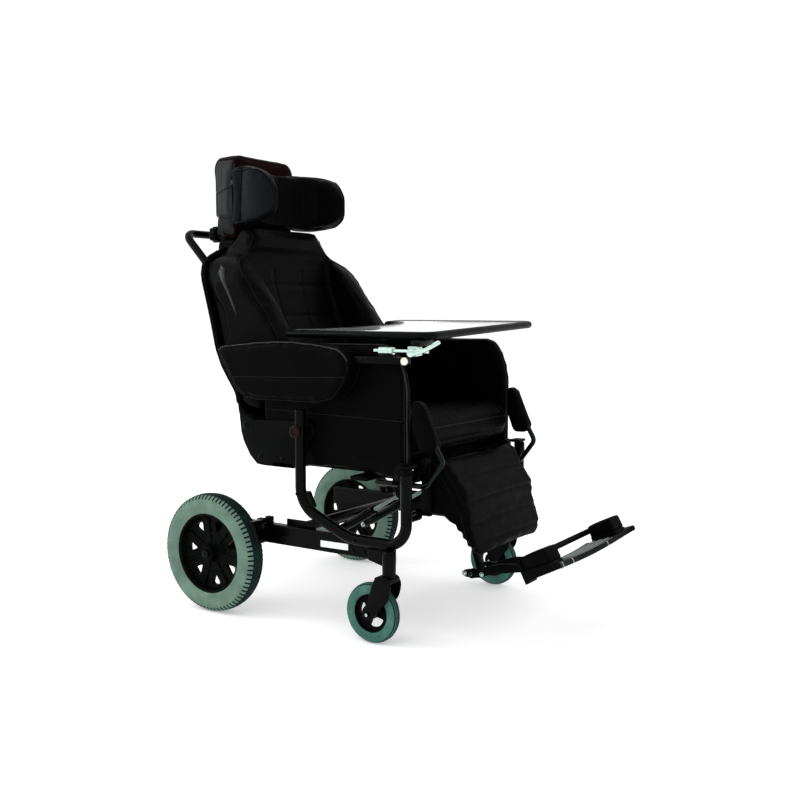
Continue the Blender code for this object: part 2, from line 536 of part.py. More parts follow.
def make_back():
    b = body("backrest", (0.0, BACK_H[0], BACK_H[1]), "seat_unit")
    rear = [(-0.0355, 0.5600), (-0.0290, 0.5890), (0.0180, 0.6560), (0.0390, 0.7030), (0.0570, 0.7810),
            (0.0725, 0.8380), (0.0870, 0.8900), (0.0930, 0.9200), (0.0970, 0.9500), (0.0975, 0.9750), (0.0940, 0.9880)]
    front = [(0.0820, 0.9880), (0.0860, 0.9680), (0.0850, 0.9450), (0.0800, 0.9100), (0.0620, 0.8420), (0.0450, 0.7860),
             (0.0260, 0.7090), (0.0050, 0.6640), (-0.0420, 0.5980), (-0.0500, 0.5560)]
    roll = yz_circle(BACK_H, 0.030, 8, 85.0, 360.0)
    shell = prism(rear + front + roll, 'X', -0.268, 0.268)
    piece("back_shell", shell, material("back_shell_black", BLACK, 0.5, 0.0), on=b, keep=(shoulder_mask(0.0),),
          cut=(rod_x(-0.300, -0.2600, BACK_H, 0.0067, 12), rod_x(0.2600, 0.300, BACK_H, 0.0067, 12)))

    back = [(0.0815, 0.9885), (0.0855, 0.9682), (0.0845, 0.9452), (0.0795, 0.9102), (0.0615, 0.8423), (0.0445, 0.7864),
            (0.0255, 0.7094), (0.0045, 0.6644), (-0.0425, 0.5986), (-0.0505, 0.5575), (-0.0760, 0.5430),
            (-0.1040, 0.5385), (-0.1215, 0.5400)]
    fore = [(-0.1215, 0.6120), (-0.1860, 0.6130), (-0.1860, 0.7200), (-0.1670, 0.7630), (-0.1290, 0.8240),
            (-0.0815, 0.8850), (-0.0460, 0.9330), (-0.0180, 0.9620), (-0.0080, 0.9900), (-0.0080, 1.0200),
            (0.0020, 1.0380), (0.0180, 1.0440), (0.0400, 1.0420), (0.0560, 1.0300), (0.0680, 1.0080)]
    pad = prism(back + fore, 'X', -0.2670, 0.2670)
    recess = prism([(-0.350, 0.450), (-0.1220, 0.450), (-0.1180, 0.5600), (-0.1060, 0.6300), (-0.0720, 0.7000),
                    (-0.0360, 0.7800), (-0.0100, 0.8500), (0.0040, 0.9050), (0.0080, 0.9450), (0.0020, 0.9700), (-0.0120, 0.9900),
                    (-0.350, 0.9900)], 'X', -0.190, 0.190)
    piece("back_cushion", pad, material("back_cushion_black", FABRIC, 0.5, 0.0), on=b,
          keep=(shoulder_mask(0.001),), cut=(recess,))

    bar = fillet_path([(-0.2, 0.0790, 0.740), (-0.2, 0.1140, 0.925), (-0.2, 0.2150, 1.029), (0.2, 0.2150, 1.029),
                       (0.2, 0.1140, 0.925), (0.2, 0.0790, 0.740)], [0.045, 0.035, 0.035, 0.045], 15)
    piece("push_bar", sweep(bar, 0.0110, 10), material("push_bar_black", BLACK, 0.35, 0.3), on=b)

    post = box(-0.125, -0.095, 0.1290, 0.1410, 0.9300, 1.1150)
    piece("head_post", post, material("post_black", BLACK, 0.4, 0.3), on=b,
          add=(box(0.095, 0.125, 0.1290, 0.1410, 0.9300, 1.1150), box(-0.135, 0.135, 0.1125, 0.1400, 0.9350, 0.9800),
               box(-0.1255, -0.0945, 0.1150, 0.1550, 0.9300, 1.0040), box(0.0945, 0.1255, 0.1150, 0.1550, 0.9300, 1.0040)))

    hb = body("headrest", (0.0, 0.135, 1.020), "backrest")
    pad = prism(round_poly([(-0.1370, 1.0120), (0.1370, 1.0120), (0.1370, 1.251), (-0.1370, 1.251)],
                           [0.020, 0.020, 0.042, 0.042], 18), 'Y', 0.0860, 0.1620, 0.010, 2, 50)
    slots = [box(x - 0.0157, x + 0.0157, 0.1283, 0.1417, 0.990, 1.1190) for x in (-0.110, 0.110)]
    piece("head_pad", pad, material("head_pad_black", FABRIC, 0.45, 0.0), on=hb,
          cut=(slots[0], slots[1], rod((-0.110, 0.140, 1.029), (-0.110, 0.170, 1.029), 0.0045, 10)))
    plan = [(-0.100, 0.0856), (-0.140, 0.0840), (-0.166, 0.0680), (-0.180, 0.0300), (-0.184, -0.0200),
            (-0.179, -0.0620), (-0.167, -0.0830), (-0.152, -0.0920), (-0.140, -0.0860), (-0.132, -0.0600),
            (-0.122, -0.0150), (-0.092, 0.0220), (0.0, 0.0380)]
    plan = plan + [(-x, y) for x, y in reversed(plan[:-1])]
    wings = prism(plan, 'Z', 1.030, 1.220)
    nose = prism([(0.1080, 1.0500), (0.0400, 1.0475), (-0.0050, 1.0520), (-0.0450, 1.0590), (-0.0730, 1.0730),
                  (-0.0900, 1.0920), (-0.0960, 1.1180), (-0.0850, 1.1480), (-0.0650, 1.1760), (-0.0400, 1.1960),
                  (0.0000, 1.2060), (0.1080, 1.2060)], 'X', -0.25, 0.25)
    piece("headrest_cushion", wings, material("headrest_black", FABRIC, 0.45, 0.0), on=hb, keep=(nose,))

    kb = body("height_knob_axis", (-0.110, 0.175, 1.029), "headrest")
    star = [((0.0235 if k % 2 else 0.0195) * math.cos(math.pi * k / 8) - 0.110,
             (0.0235 if k % 2 else 0.0195) * math.sin(math.pi * k / 8) + 1.029) for k in range(16)]
    piece("height_knob", prism(star, 'Y', 0.1650, 0.1880), material("knob_black", BLACK, 0.5, 0.0), on=kb,
          add=(rod((-0.110, 0.1418, 1.029), (-0.110, 0.170, 1.029), 0.0040, 10),))


# ---------------------------------------------------------------- arms, tray
def tray_outline(o):
    """Tray edge moved inwards by o: square front, two rear horns, waist cut-out."""
    w, f, r = TRAY_HALF - o, -0.660 + o, -0.205 - o
    pts = round_poly([(-w, r), (-w, f), (w, f), (w, r)], [0.0, 0.034 - o, 0.034 - o, 0.0], 18)
    half, deep = 0.196 + o, 0.112 + o
    pts = [(-w + 0.012, r + 0.0), (-w, r - 0.014)] + pts[1:-1] + [(w, r - 0.014), (w - 0.012, r)]
    cut = []
    n = 16
    for k in range(n + 1):
        t = math.pi * k / n
        cut.append((half * math.cos(t), r - deep * math.sin(t) ** 0.9))
    return [pts[i] for i in range(len(pts))] + [(half + 0.028, r)] + cut + [(-half - 0.028, r)]


def make_arms():
    outline = [(-0.0200, 0.7080), (-0.0340, 0.6780), (-0.0600, 0.6350), (-0.0850, 0.6000), (-0.1100, 0.5830),
               (-0.1500, 0.5750), (-0.3600, 0.5750), (-0.4100, 0.5900), (-0.4400, 0.6250),
               (-0.4570, 0.6650), (-0.4570, 0.6900), (-0.4440, 0.7080), (-0.4200, 0.7220), (-0.3600, 0.7330),
               (-0.2800, 0.7390), (-0.2200, 0.7390), (-0.1500, 0.7350), (-0.0800, 0.7270), (-0.0400, 0.7200)]
    up = material("armrest_black", FABRIC, 0.45, 0.0)
    for s in (-1, 1):
        n = side(s)
        b = body("arm_" + n, (s * 0.300, -0.200, 0.660), "seat_unit")
        piece("armrest_" + n, prism(outline, 'X', s * 0.2706, s * 0.3330, 0.008, 1, 50), up, on=b)
    chrome = material("clamp_chrome", CHROME, 0.15, 1.0)
    x0, z0 = -TRAY_ROD[0], TRAY_ROD[1]
    bar = box(-0.3125, -0.2935, -0.6105, -0.4588, 0.6840, 0.7000, 0.002)
    piece("tray_socket", bar, chrome, on="arm_R",
          add=(box(-0.3065, -0.2935, -0.565, -0.527, 0.6980, 0.7080),
               rod((x0, -0.566, z0), (x0, -0.526, z0), 0.0095, 16)),
          cut=(rod((x0, -0.600, z0), (x0, -0.500, z0), 0.0050, 14),))
    sb = body("tray_slide", (x0, -0.560, z0), "arm_R")
    piece("tray_rail", rod((x0, -0.662, z0), (x0, -0.510, z0), 0.0046, 14, 0.001), chrome, on=sb)
    tb = body("tray_swing", (x0, -0.626, z0), "tray_slide")
    at = (x0, 0.0, z0)
    clamp = turned(box(-0.3110, -0.2890, -0.640, -0.612, 0.7040, 0.7275, 0.002), -TRAY_TILT, at, 'Y')
    arm = turned(box(-0.3000, -0.2350, -0.638, -0.614, 0.7262, 0.7397, 0.001), -TRAY_TILT, at, 'Y')
    piece("tray_clamp", clamp, chrome, on=tb, add=(arm,), cut=(rod((x0, -0.66, z0), (x0, -0.60, z0), 0.0050, 14),))
    z1, z2 = 0.7420, 0.7560
    board = turned(prism(tray_outline(0.0123), 'Z', z1, z2), -TRAY_TILT, at, 'Y')
    piece("tray_board", board, material("tray_white", WHITE, 0.3, 0.0), on=tb)
    ring = turned(prism(tray_outline(0.0), 'Z', 0.7400, 0.7595, 0.0), -TRAY_TILT, at, 'Y')
    hole = turned(prism(tray_outline(0.0120), 'Z', 0.70, 0.80), -TRAY_TILT, at, 'Y')
    piece("tray_rim", ring, material("rim_edge_black", BLACK, 0.5, 0.0), on=tb, cut=(hole,))
    lb = body("tray_lever_axis", (-0.317, -0.626, 0.712), "tray_swing")
    hub = rod_x(-0.3114, -0.3225, (-0.626, 0.712), 0.0105, 16, 0.001)
    grip = prism([(-0.630, 0.7060), (-0.628, 0.7180), (-0.662, 0.7240), (-0.698, 0.7420), (-0.7045, 0.7385),
                  (-0.7020, 0.7330), (-0.665, 0.7150)], 'X', -0.3145, -0.3200)
    piece("tray_lever", hub, chrome, on=lb, add=(grip,))


# ---------------------------------------------------------------- legrest, foot box
SLEEVE_D = (-0.3006, -0.9537)      # direction (Y, Z) in which the foot box extends
SLEEVE_0 = (-0.6007, 0.2651)


FOOT_O = (-0.8882, 0.1808)
FOOT_U = (-0.887, 0.461)
FOOT_V = (0.461, 0.887)


def foot(u, v):
    return (FOOT_O[0] + FOOT_U[0] * u + FOOT_V[0] * v, FOOT_O[1] + FOOT_U[1] * u + FOOT_V[1] * v)


def dished(w, u0, u1, v0, v1, rise=0.018, ears=0.0):
    """Slab of the dished foot plate: it curls up at both ends; ears draw the front edge out there."""
    bm = bmesh.new()
    rows = []
    n = 14
    for k in range(n + 1):
        x = w * (2.0 * k / n - 1.0)
        q = abs(x) / 0.236
        lo, hi = 0.007 * q * q, rise * q * q
        u = u1 + ears * q ** 6
        rows.append([bm.verts.new((x, *foot(a, b))) for a, b in
                     ((u0, v0 + lo), (u, v0 + lo), (u, v1 + lo), (u0, v1 + hi))])
    for a, b in zip(rows, rows[1:]):
        for k in range(4):
            m = (k + 1) % 4
            bm.faces.new((a[k], b[k], b[m], a[m]))
    bm.faces.new(rows[0])
    bm.faces.new(rows[-1])
    return finish_bm(bm)


def make_legrest():
    paint = material("legrest_black", BLACK, 0.42, 0.25)
    b = body("legrest", (0.0, LEG_H[0], LEG_H[1]), "seat_unit")

    def strip(s0, s1, t):
        dy, dz = SLEEVE_D
        ny, nz = -dz, dy
        return [(SLEEVE_0[0] + dy * q + ny * w, SLEEVE_0[1] + dz * q + nz * w)
                for q, w in ((s0, -t), (s1, -t), (s1, t), (s0, t))]
    cross = box(-0.2140, 0.2140, -0.5900, -0.5740, 0.3060, 0.3240)
    add = []
    for s in (-1, 1):
        add.append(prism([(-0.5905, 0.4480), (-0.6000, 0.4530), (-0.6100, 0.4490), (-0.6140, 0.4400), (-0.6180, 0.3060),
                          (-0.5740, 0.3060), (-0.5740, 0.3240), (-0.5905, 0.3440)], 'X', s * 0.2050, s * 0.2140))
    add.append(prism(strip(-0.056, 0.072, 0.0105), 'X', -0.0180, 0.0180))
    piece("legrest_frame", cross, paint, on=b, add=add,
          cut=(prism(strip(-0.080, 0.100, 0.0066), 'X', -0.0126, 0.0126),
               rod_x(-0.230, -0.190, LEG_H, 0.0056, 12), rod_x(0.190, 0.230, LEG_H, 0.0056, 12)))
    pad = [(-0.5925, 0.3060), (-0.5925, 0.4250), (-0.6020, 0.4400), (-0.6170, 0.4460), (-0.6400, 0.4400),
           (-0.6650, 0.4050), (-0.6990, 0.3520), (-0.7030, 0.3100), (-0.7180, 0.2550), (-0.7260, 0.2280),
           (-0.7225, 0.1995), (-0.7130, 0.2080), (-0.7050, 0.2430), (-0.6870, 0.2740), (-0.6620, 0.2960), (-0.6400, 0.3030)]
    edge = prism(round_poly([(-0.1990, 0.480), (-0.1990, 0.1990), (0.1990, 0.1990), (0.1990, 0.480)],
                            [0.0, 0.075, 0.075, 0.0], 15), 'Y', -0.800, -0.500)
    piece("calf_pad", prism(pad, 'X', -0.2000, 0.2000, 0.006, 1, 50), material("calf_pad_black", FABRIC, 0.55, 0.0), on=b,
          keep=(edge,), cut=(box(-0.0215, 0.0215, -0.6200, -0.5800, 0.270, 0.350),))

    fb = body("foot_slide", (0.0, FOOT_H[0], FOOT_H[1]), "legrest")
    bar = prism(strip(0.006, 0.1406, 0.0060), 'X', -0.0120, 0.0120)
    piece("foot_hanger", bar, material("hanger_black", BLACK, 0.4, 0.3), on=fb,
          add=(rod_x(-0.0590, 0.0590, FOOT_H, 0.0050, 12), rod_x(-0.0125, 0.0125, FOOT_H, 0.0085, 12)))
    pb = body("foot_fold", (0.0, FOOT_H[0], FOOT_H[1]), "foot_slide")
    plate = dished(0.2350, 0.0, 0.0900, 0.0, 0.0135, 0.018, 0.015)
    heel = prism([foot(-0.001, 0.001), foot(0.008, 0.001), foot(0.008, 0.0580), foot(-0.001, 0.0580)], 'X', -0.2345, 0.2345)
    arms = []
    for s in (-1, 1):
        arms.append(prism([(-0.6215, 0.1385), (-0.6130, 0.1330), (-0.6130, 0.1260), (-0.6215, 0.1205), (-0.6430, 0.1190),
                           (-0.6680, 0.1235), (-0.7000, 0.1370), (-0.7600, 0.1500), (-0.8200, 0.1620), (-0.8850, 0.1790),
                           (-0.8950, 0.1870), (-0.8890, 0.1920), (-0.8800, 0.1890), (-0.8600, 0.1840), (-0.8200, 0.1770), (-0.7600, 0.1720), (-0.7200, 0.1660),
                           (-0.6900, 0.1560), (-0.6650, 0.1430), (-0.6430, 0.1430)],
                          'X', s * 0.0390, s * 0.0510))
        arms.append(rod_x(s * 0.0370, s * 0.0530, FOOT_H, 0.0125, 16))
        arms.append(rod_x(s * 0.0505, s * 0.0550, (-0.6720, 0.1330), 0.0060, 12))
        arms.append(rod_x(s * 0.0505, s * 0.0560, (-0.6215, 0.1295), 0.0070, 12))
    slot = prism([(-0.1880, 0.0138 + 0.0115), (-0.1500, 0.0138 + 0.0073), (-0.1100, 0.0138 + 0.0040), (-0.0500, 0.0138 + 0.0009),
                  (0.0500, 0.0138 + 0.0009), (0.1100, 0.0138 + 0.0040), (0.1500, 0.0138 + 0.0073), (0.1880, 0.0138 + 0.0115),
                  (0.1880, 0.0430), (-0.1880, 0.0430)], 'Y', -0.010, 0.0083)
    for q in slot.verts:
        q.co.y, q.co.z = foot(q.co.y, q.co.z)
    finish_bm(slot)
    piece("footplate", plate, material("footplate_black", BLACK, 0.5, 0.0), on=pb, add=[heel] + arms,
          cut=(slot, rod_x(-0.070, -0.030, FOOT_H, 0.0055, 12), rod_x(0.030, 0.070, FOOT_H, 0.0055, 12)))
    for s in (-1, 1):
        n = side(s)
        blk = prism([foot(0.0086, 0.0325), foot(0.0800, 0.0245), foot(0.0790, 0.0620), foot(0.0086, 0.0630)],
                    'X', s * 0.1650, s * 0.2320, 0.003, 1)
        piece("foot_block_" + n, blk, material("foot_block_black", (0.015, 0.015, 0.015), 0.7, 0.0), on=pb)

        kb = body("knee_guide_" + n, (s * 0.250, -0.560, 0.386), "seat_unit")
        line = [(s * 0.250, -0.482, 0.3860), (s * 0.250, -0.6280, 0.3860), (s * 0.250, -0.6740, 0.4480),
                (s * 0.250, -0.6240, 0.5350)]
        path = fillet_path(line, [0.030, 0.018], 20)
        fat = fillet_path([line[0], line[1], line[2], (s * 0.250, -0.6225, 0.5372)], [0.030, 0.018], 20)
        piece("knee_bar_" + n, sweep(path, 0.0068, 10), material("knee_bar_black", BLACK, 0.35, 0.3), on=kb)
        outline = [(-0.5902, 0.5900), (-0.6030, 0.5970), (-0.6210, 0.5850), (-0.6610, 0.4930), (-0.6580, 0.4790),
                   (-0.6460, 0.4700), (-0.6200, 0.4690), (-0.6110, 0.4760), (-0.5902, 0.5300)]
        piece("knee_pad_" + n, prism(outline, 'X', s * 0.2350, s * 0.2650, 0.004, 1, 50),
              material("knee_pad_black", FABRIC, 0.5, 0.0), on=kb, cut=(sweep(fat, 0.0074, 10),))


make_chassis()
make_wheels()
make_seat()
make_back()
make_arms()
make_legrest()

for ob in bpy.data.objects:
    if ob.parent is None:
        ob.location.y += Y_SHIFT
bpy.context.view_layer.update()
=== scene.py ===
"""Looks for the shell positioning wheelchair: wheeled base, tilting upholstered shell
seat, reclining back, wrap-round headrest, tray, elevating legrest and foot box.

Metres, +Z up, the chair faces -Y, the occupant's left is +X. Most numbers are taken
from the rear axle (Y = 0) and the ground (Z = 0), as in the CAD; S moves them to the
middle of the footprint.
"""

import json
import math

import bmesh
import bpy
import numpy as np
from mathutils import Matrix, Vector
from mathutils.bvhtree import BVHTree

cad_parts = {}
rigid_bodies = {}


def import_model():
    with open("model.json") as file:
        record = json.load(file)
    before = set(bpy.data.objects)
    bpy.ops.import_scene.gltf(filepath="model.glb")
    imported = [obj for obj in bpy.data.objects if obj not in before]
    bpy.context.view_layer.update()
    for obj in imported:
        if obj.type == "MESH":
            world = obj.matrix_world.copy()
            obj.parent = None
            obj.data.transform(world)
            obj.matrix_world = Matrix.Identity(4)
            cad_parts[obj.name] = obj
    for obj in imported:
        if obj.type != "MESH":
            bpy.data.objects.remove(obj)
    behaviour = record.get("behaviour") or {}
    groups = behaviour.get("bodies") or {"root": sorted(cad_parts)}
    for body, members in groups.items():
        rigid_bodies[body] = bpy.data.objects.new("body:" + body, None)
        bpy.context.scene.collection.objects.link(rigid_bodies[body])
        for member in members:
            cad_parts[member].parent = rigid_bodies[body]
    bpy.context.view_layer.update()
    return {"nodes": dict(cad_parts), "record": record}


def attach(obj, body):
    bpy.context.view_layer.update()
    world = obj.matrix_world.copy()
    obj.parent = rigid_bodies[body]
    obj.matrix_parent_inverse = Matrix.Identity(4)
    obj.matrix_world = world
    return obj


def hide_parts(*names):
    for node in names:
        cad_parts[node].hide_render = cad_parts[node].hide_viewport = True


for ob in list(bpy.data.objects):
    bpy.data.objects.remove(ob, do_unlink=True)

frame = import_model()
RECORD = frame["record"]
BODY = {n: b for b, ns in RECORD["behaviour"]["bodies"].items() for n in ns}
SLOT = {p["node"]: p["material_slot"] for p in RECORD["subparts"]}
COL = bpy.context.scene.collection
S = 0.3760

REAR_R, REAR_X = 0.160, 0.327
CAST_X, SWIVEL_Y, CAST_Y, CAST_R = 0.314, -0.5617, -0.5145, 0.075
BEAM_IN, BEAM_OUT, BEAM_Z0, BEAM_Z1 = 0.257, 0.284, 0.196, 0.2475
TUBE_R, TUBE_X = 0.014, 0.300
REAR_LEG_Y, FRONT_LEG_Y = -0.2805, -0.602
PIVOT, BACK_H, LEG_H = (-0.2805, 0.505), (-0.075, 0.505), (-0.600, 0.440)
STRUT_LO, STRUT_HI, STRUT_X = (-0.215, 0.188), (-0.445, 0.3255), 0.080
FOOT_H, BRAKE_H = (-0.643, 0.131), (-0.150, 0.256)
TRAY_ROD, TRAY_TILT, TRAY_HALF = (0.300, 0.715), math.radians(2.15), 0.280
SLEEVE_D, SLEEVE_0 = (-0.3006, -0.9537), (-0.6007, 0.2651)
FOOT_O, FOOT_U, FOOT_V = (-0.8882, 0.1808), (-0.887, 0.461), (0.461, 0.887)


# ---------------------------------------------------------------- materials
def srgb(r, g, b):
    def f(c):
        c /= 255.0
        return c / 12.92 if c <= 0.04045 else ((c + 0.055) / 1.055) ** 2.4
    return (f(r), f(g), f(b))


class Maker:
    """Builds one procedural material: mottled colour, uneven gloss and a stack of bumps."""

    def __init__(self, name):
        self.m = bpy.data.materials.new(name)
        self.m.use_nodes = True
        self.t = self.m.node_tree
        self.b = self.t.nodes["Principled BSDF"]
        self.at = self.t.nodes.new("ShaderNodeTexCoord").outputs["Object"]
        self.normal = None

    def node(self, kind, **sets):
        n = self.t.nodes.new(kind)
        for k, v in sets.items():
            if k in n.inputs:
                n.inputs[k].default_value = v
            else:
                setattr(n, k, v)
        return n

    def link(self, a, b):
        self.t.links.new(a, b)

    def noise(self, scale, detail=3.0, rough=0.55, stretch=None, distort=0.0):
        n = self.node("ShaderNodeTexNoise", Scale=scale, Detail=detail, Roughness=rough, Distortion=distort)
        if stretch:
            mp = self.node("ShaderNodeMapping")
            mp.inputs["Scale"].default_value = stretch
            self.link(self.at, mp.inputs["Vector"])
            self.link(mp.outputs["Vector"], n.inputs["Vector"])
        else:
            self.link(self.at, n.inputs["Vector"])
        return n.outputs["Fac"]

    def cells(self, scale, feature='F1', out="Distance", smooth=None):
        n = self.node("ShaderNodeTexVoronoi", Scale=scale, feature=feature)
        self.link(self.at, n.inputs["Vector"])
        return n.outputs[out]

    def ramp(self, fac, stops):
        r = self.node("ShaderNodeValToRGB")
        e = r.color_ramp.elements
        while len(e) < len(stops):
            e.new(0.5)
        for k, (p, c) in enumerate(stops):
            e[k].position = p
            e[k].color = (c[0], c[1], c[2], 1.0)
        self.link(fac, r.inputs["Fac"])
        return r.outputs["Color"]

    def span(self, fac, lo, hi, a=0.3, b=0.7):
        r = self.node("ShaderNodeMapRange")
        r.inputs["From Min"].default_value = a
        r.inputs["From Max"].default_value = b
        r.inputs["To Min"].default_value = lo
        r.inputs["To Max"].default_value = hi
        self.link(fac, r.inputs["Value"])
        return r.outputs["Result"]

    def colour(self, a, b, scale, detail=4.0, lo=0.35, hi=0.65):
        self.link(self.ramp(self.noise(scale, detail), [(lo, a), (hi, b)]), self.b.inputs["Base Color"])

    def gloss(self, lo, hi, scale, detail=3.0):
        self.link(self.span(self.noise(scale, detail), lo, hi), self.b.inputs["Roughness"])

    def bump(self, height, strength, distance, invert=False):
        n = self.node("ShaderNodeBump", Strength=strength, Distance=distance)
        n.invert = invert
        self.link(height, n.inputs["Height"])
        if self.normal is not None:
            self.link(self.normal, n.inputs["Normal"])
        self.normal = n.outputs["Normal"]
        self.link(self.normal, self.b.inputs["Normal"])

    def set(self, **vals):
        for k, v in vals.items():
            self.b.inputs[k.replace("_", " ")].default_value = v
        return self


def mul(c, k):
    return (c[0] * k, c[1] * k, c[2] * k)


def leatherette(name, base, spec=0.30, lo=0.36, hi=0.50, grain=520.0):
    k = Maker(name)
    k.colour(mul(base, 0.75), mul(base, 1.35), 9.0, 5.0)
    k.gloss(lo, hi, 38.0, 4.0)
    k.bump(k.noise(11.0, 3.0, 0.5), 0.30, 0.0040)
    k.bump(k.noise(46.0, 3.0, 0.6, None, 0.6), 0.20, 0.0012)
    k.bump(k.cells(grain, 'F1'), 0.35, 0.0004)
    k.set(Specular_IOR_Level=spec, Metallic=0.0, Coat_Weight=0.0)
    k.b.inputs["Sheen Weight"].default_value = 0.003
    k.b.inputs["Sheen Roughness"].default_value = 0.45
    k.b.inputs["Sheen Tint"].default_value = (0.75, 0.88, 1.0, 1.0)
    return k.m


def powder(name, base, lo=0.30, hi=0.42, metal=0.0, spec=0.42):
    k = Maker(name)
    k.colour(mul(base, 0.8), mul(base, 1.25), 14.0)
    k.gloss(lo, hi, 60.0)
    k.bump(k.noise(900.0, 2.0, 0.5), 0.18, 0.0002)
    k.bump(k.noise(70.0, 2.0, 0.5, (1.0, 1.0, 1.0)), 0.05, 0.0008)
    k.set(Metallic=metal, Specular_IOR_Level=spec)
    return k.m


def moulded(name, base, lo=0.42, hi=0.58, spec=0.35, fine=1100.0):
    k = Maker(name)
    k.colour(mul(base, 0.8), mul(base, 1.3), 22.0)
    k.gloss(lo, hi, 45.0)
    k.bump(k.cells(fine, 'F1'), 0.20, 0.0002)
    k.set(Specular_IOR_Level=spec)
    return k.m


def metal(name, base, lo=0.14, hi=0.28, streak=(1.0, 1.0, 1.0)):
    k = Maker(name)
    k.link(k.ramp(k.noise(30.0, 4.0), [(0.3, mul(base, 0.82)), (0.7, base)]), k.b.inputs["Base Color"])
    k.link(k.span(k.noise(240.0, 4.0, 0.6, streak), lo, hi), k.b.inputs["Roughness"])
    k.bump(k.noise(520.0, 2.0, 0.5, streak), 0.08, 0.0002)
    k.set(Metallic=1.0)
    return k.m


def rubber(name, base, spread=0.22, lo=0.62, hi=0.80, spec=0.3, wear=True):
    k = Maker(name)
    k.colour(mul(base, 1.0 - spread), mul(base, 1.0 + spread), 26.0, 6.0)
    k.gloss(lo, hi, 55.0)
    if wear:
        k.bump(k.noise(160.0, 5.0, 0.65), 0.30, 0.0007)
    k.bump(k.noise(1300.0, 2.0, 0.5), 0.20, 0.0002)
    k.set(Specular_IOR_Level=spec)
    return k.m


def gloss_white(name, base):
    k = Maker(name)
    k.colour(mul(base, 0.965), base, 7.0, 5.0)
    k.gloss(0.13, 0.19, 30.0)
    k.bump(k.noise(420.0, 2.0, 0.5), 0.02, 0.0001)
    k.set(Specular_IOR_Level=0.50)
    k.b.inputs["Coat Weight"].default_value = 1.0
    k.b.inputs["Coat Roughness"].default_value = 0.06
    return k.m


def tread_pad(name, base):
    k = Maker(name)
    k.colour(mul(base, 0.8), mul(base, 1.12), 40.0, 5.0)
    k.gloss(0.45, 0.62, 60.0)
    k.bump(k.noise(700.0, 3.0, 0.6), 0.25, 0.0003)
    k.set(Specular_IOR_Level=0.35)
    return k.m


def vinyl(name, base):
    k = Maker(name)
    k.colour(mul(base, 0.94), base, 60.0, 3.0)
    k.gloss(0.25, 0.36, 80.0)
    k.bump(k.noise(420.0, 2.0), 0.05, 0.0002)
    return k.m


def thread(name, base):
    k = Maker(name)
    k.colour(mul(base, 0.7), mul(base, 1.3), 300.0, 2.0)
    k.gloss(0.6, 0.8, 200.0)
    k.bump(k.noise(1600.0, 2.0, 0.5), 0.4, 0.0003)
    return k.m


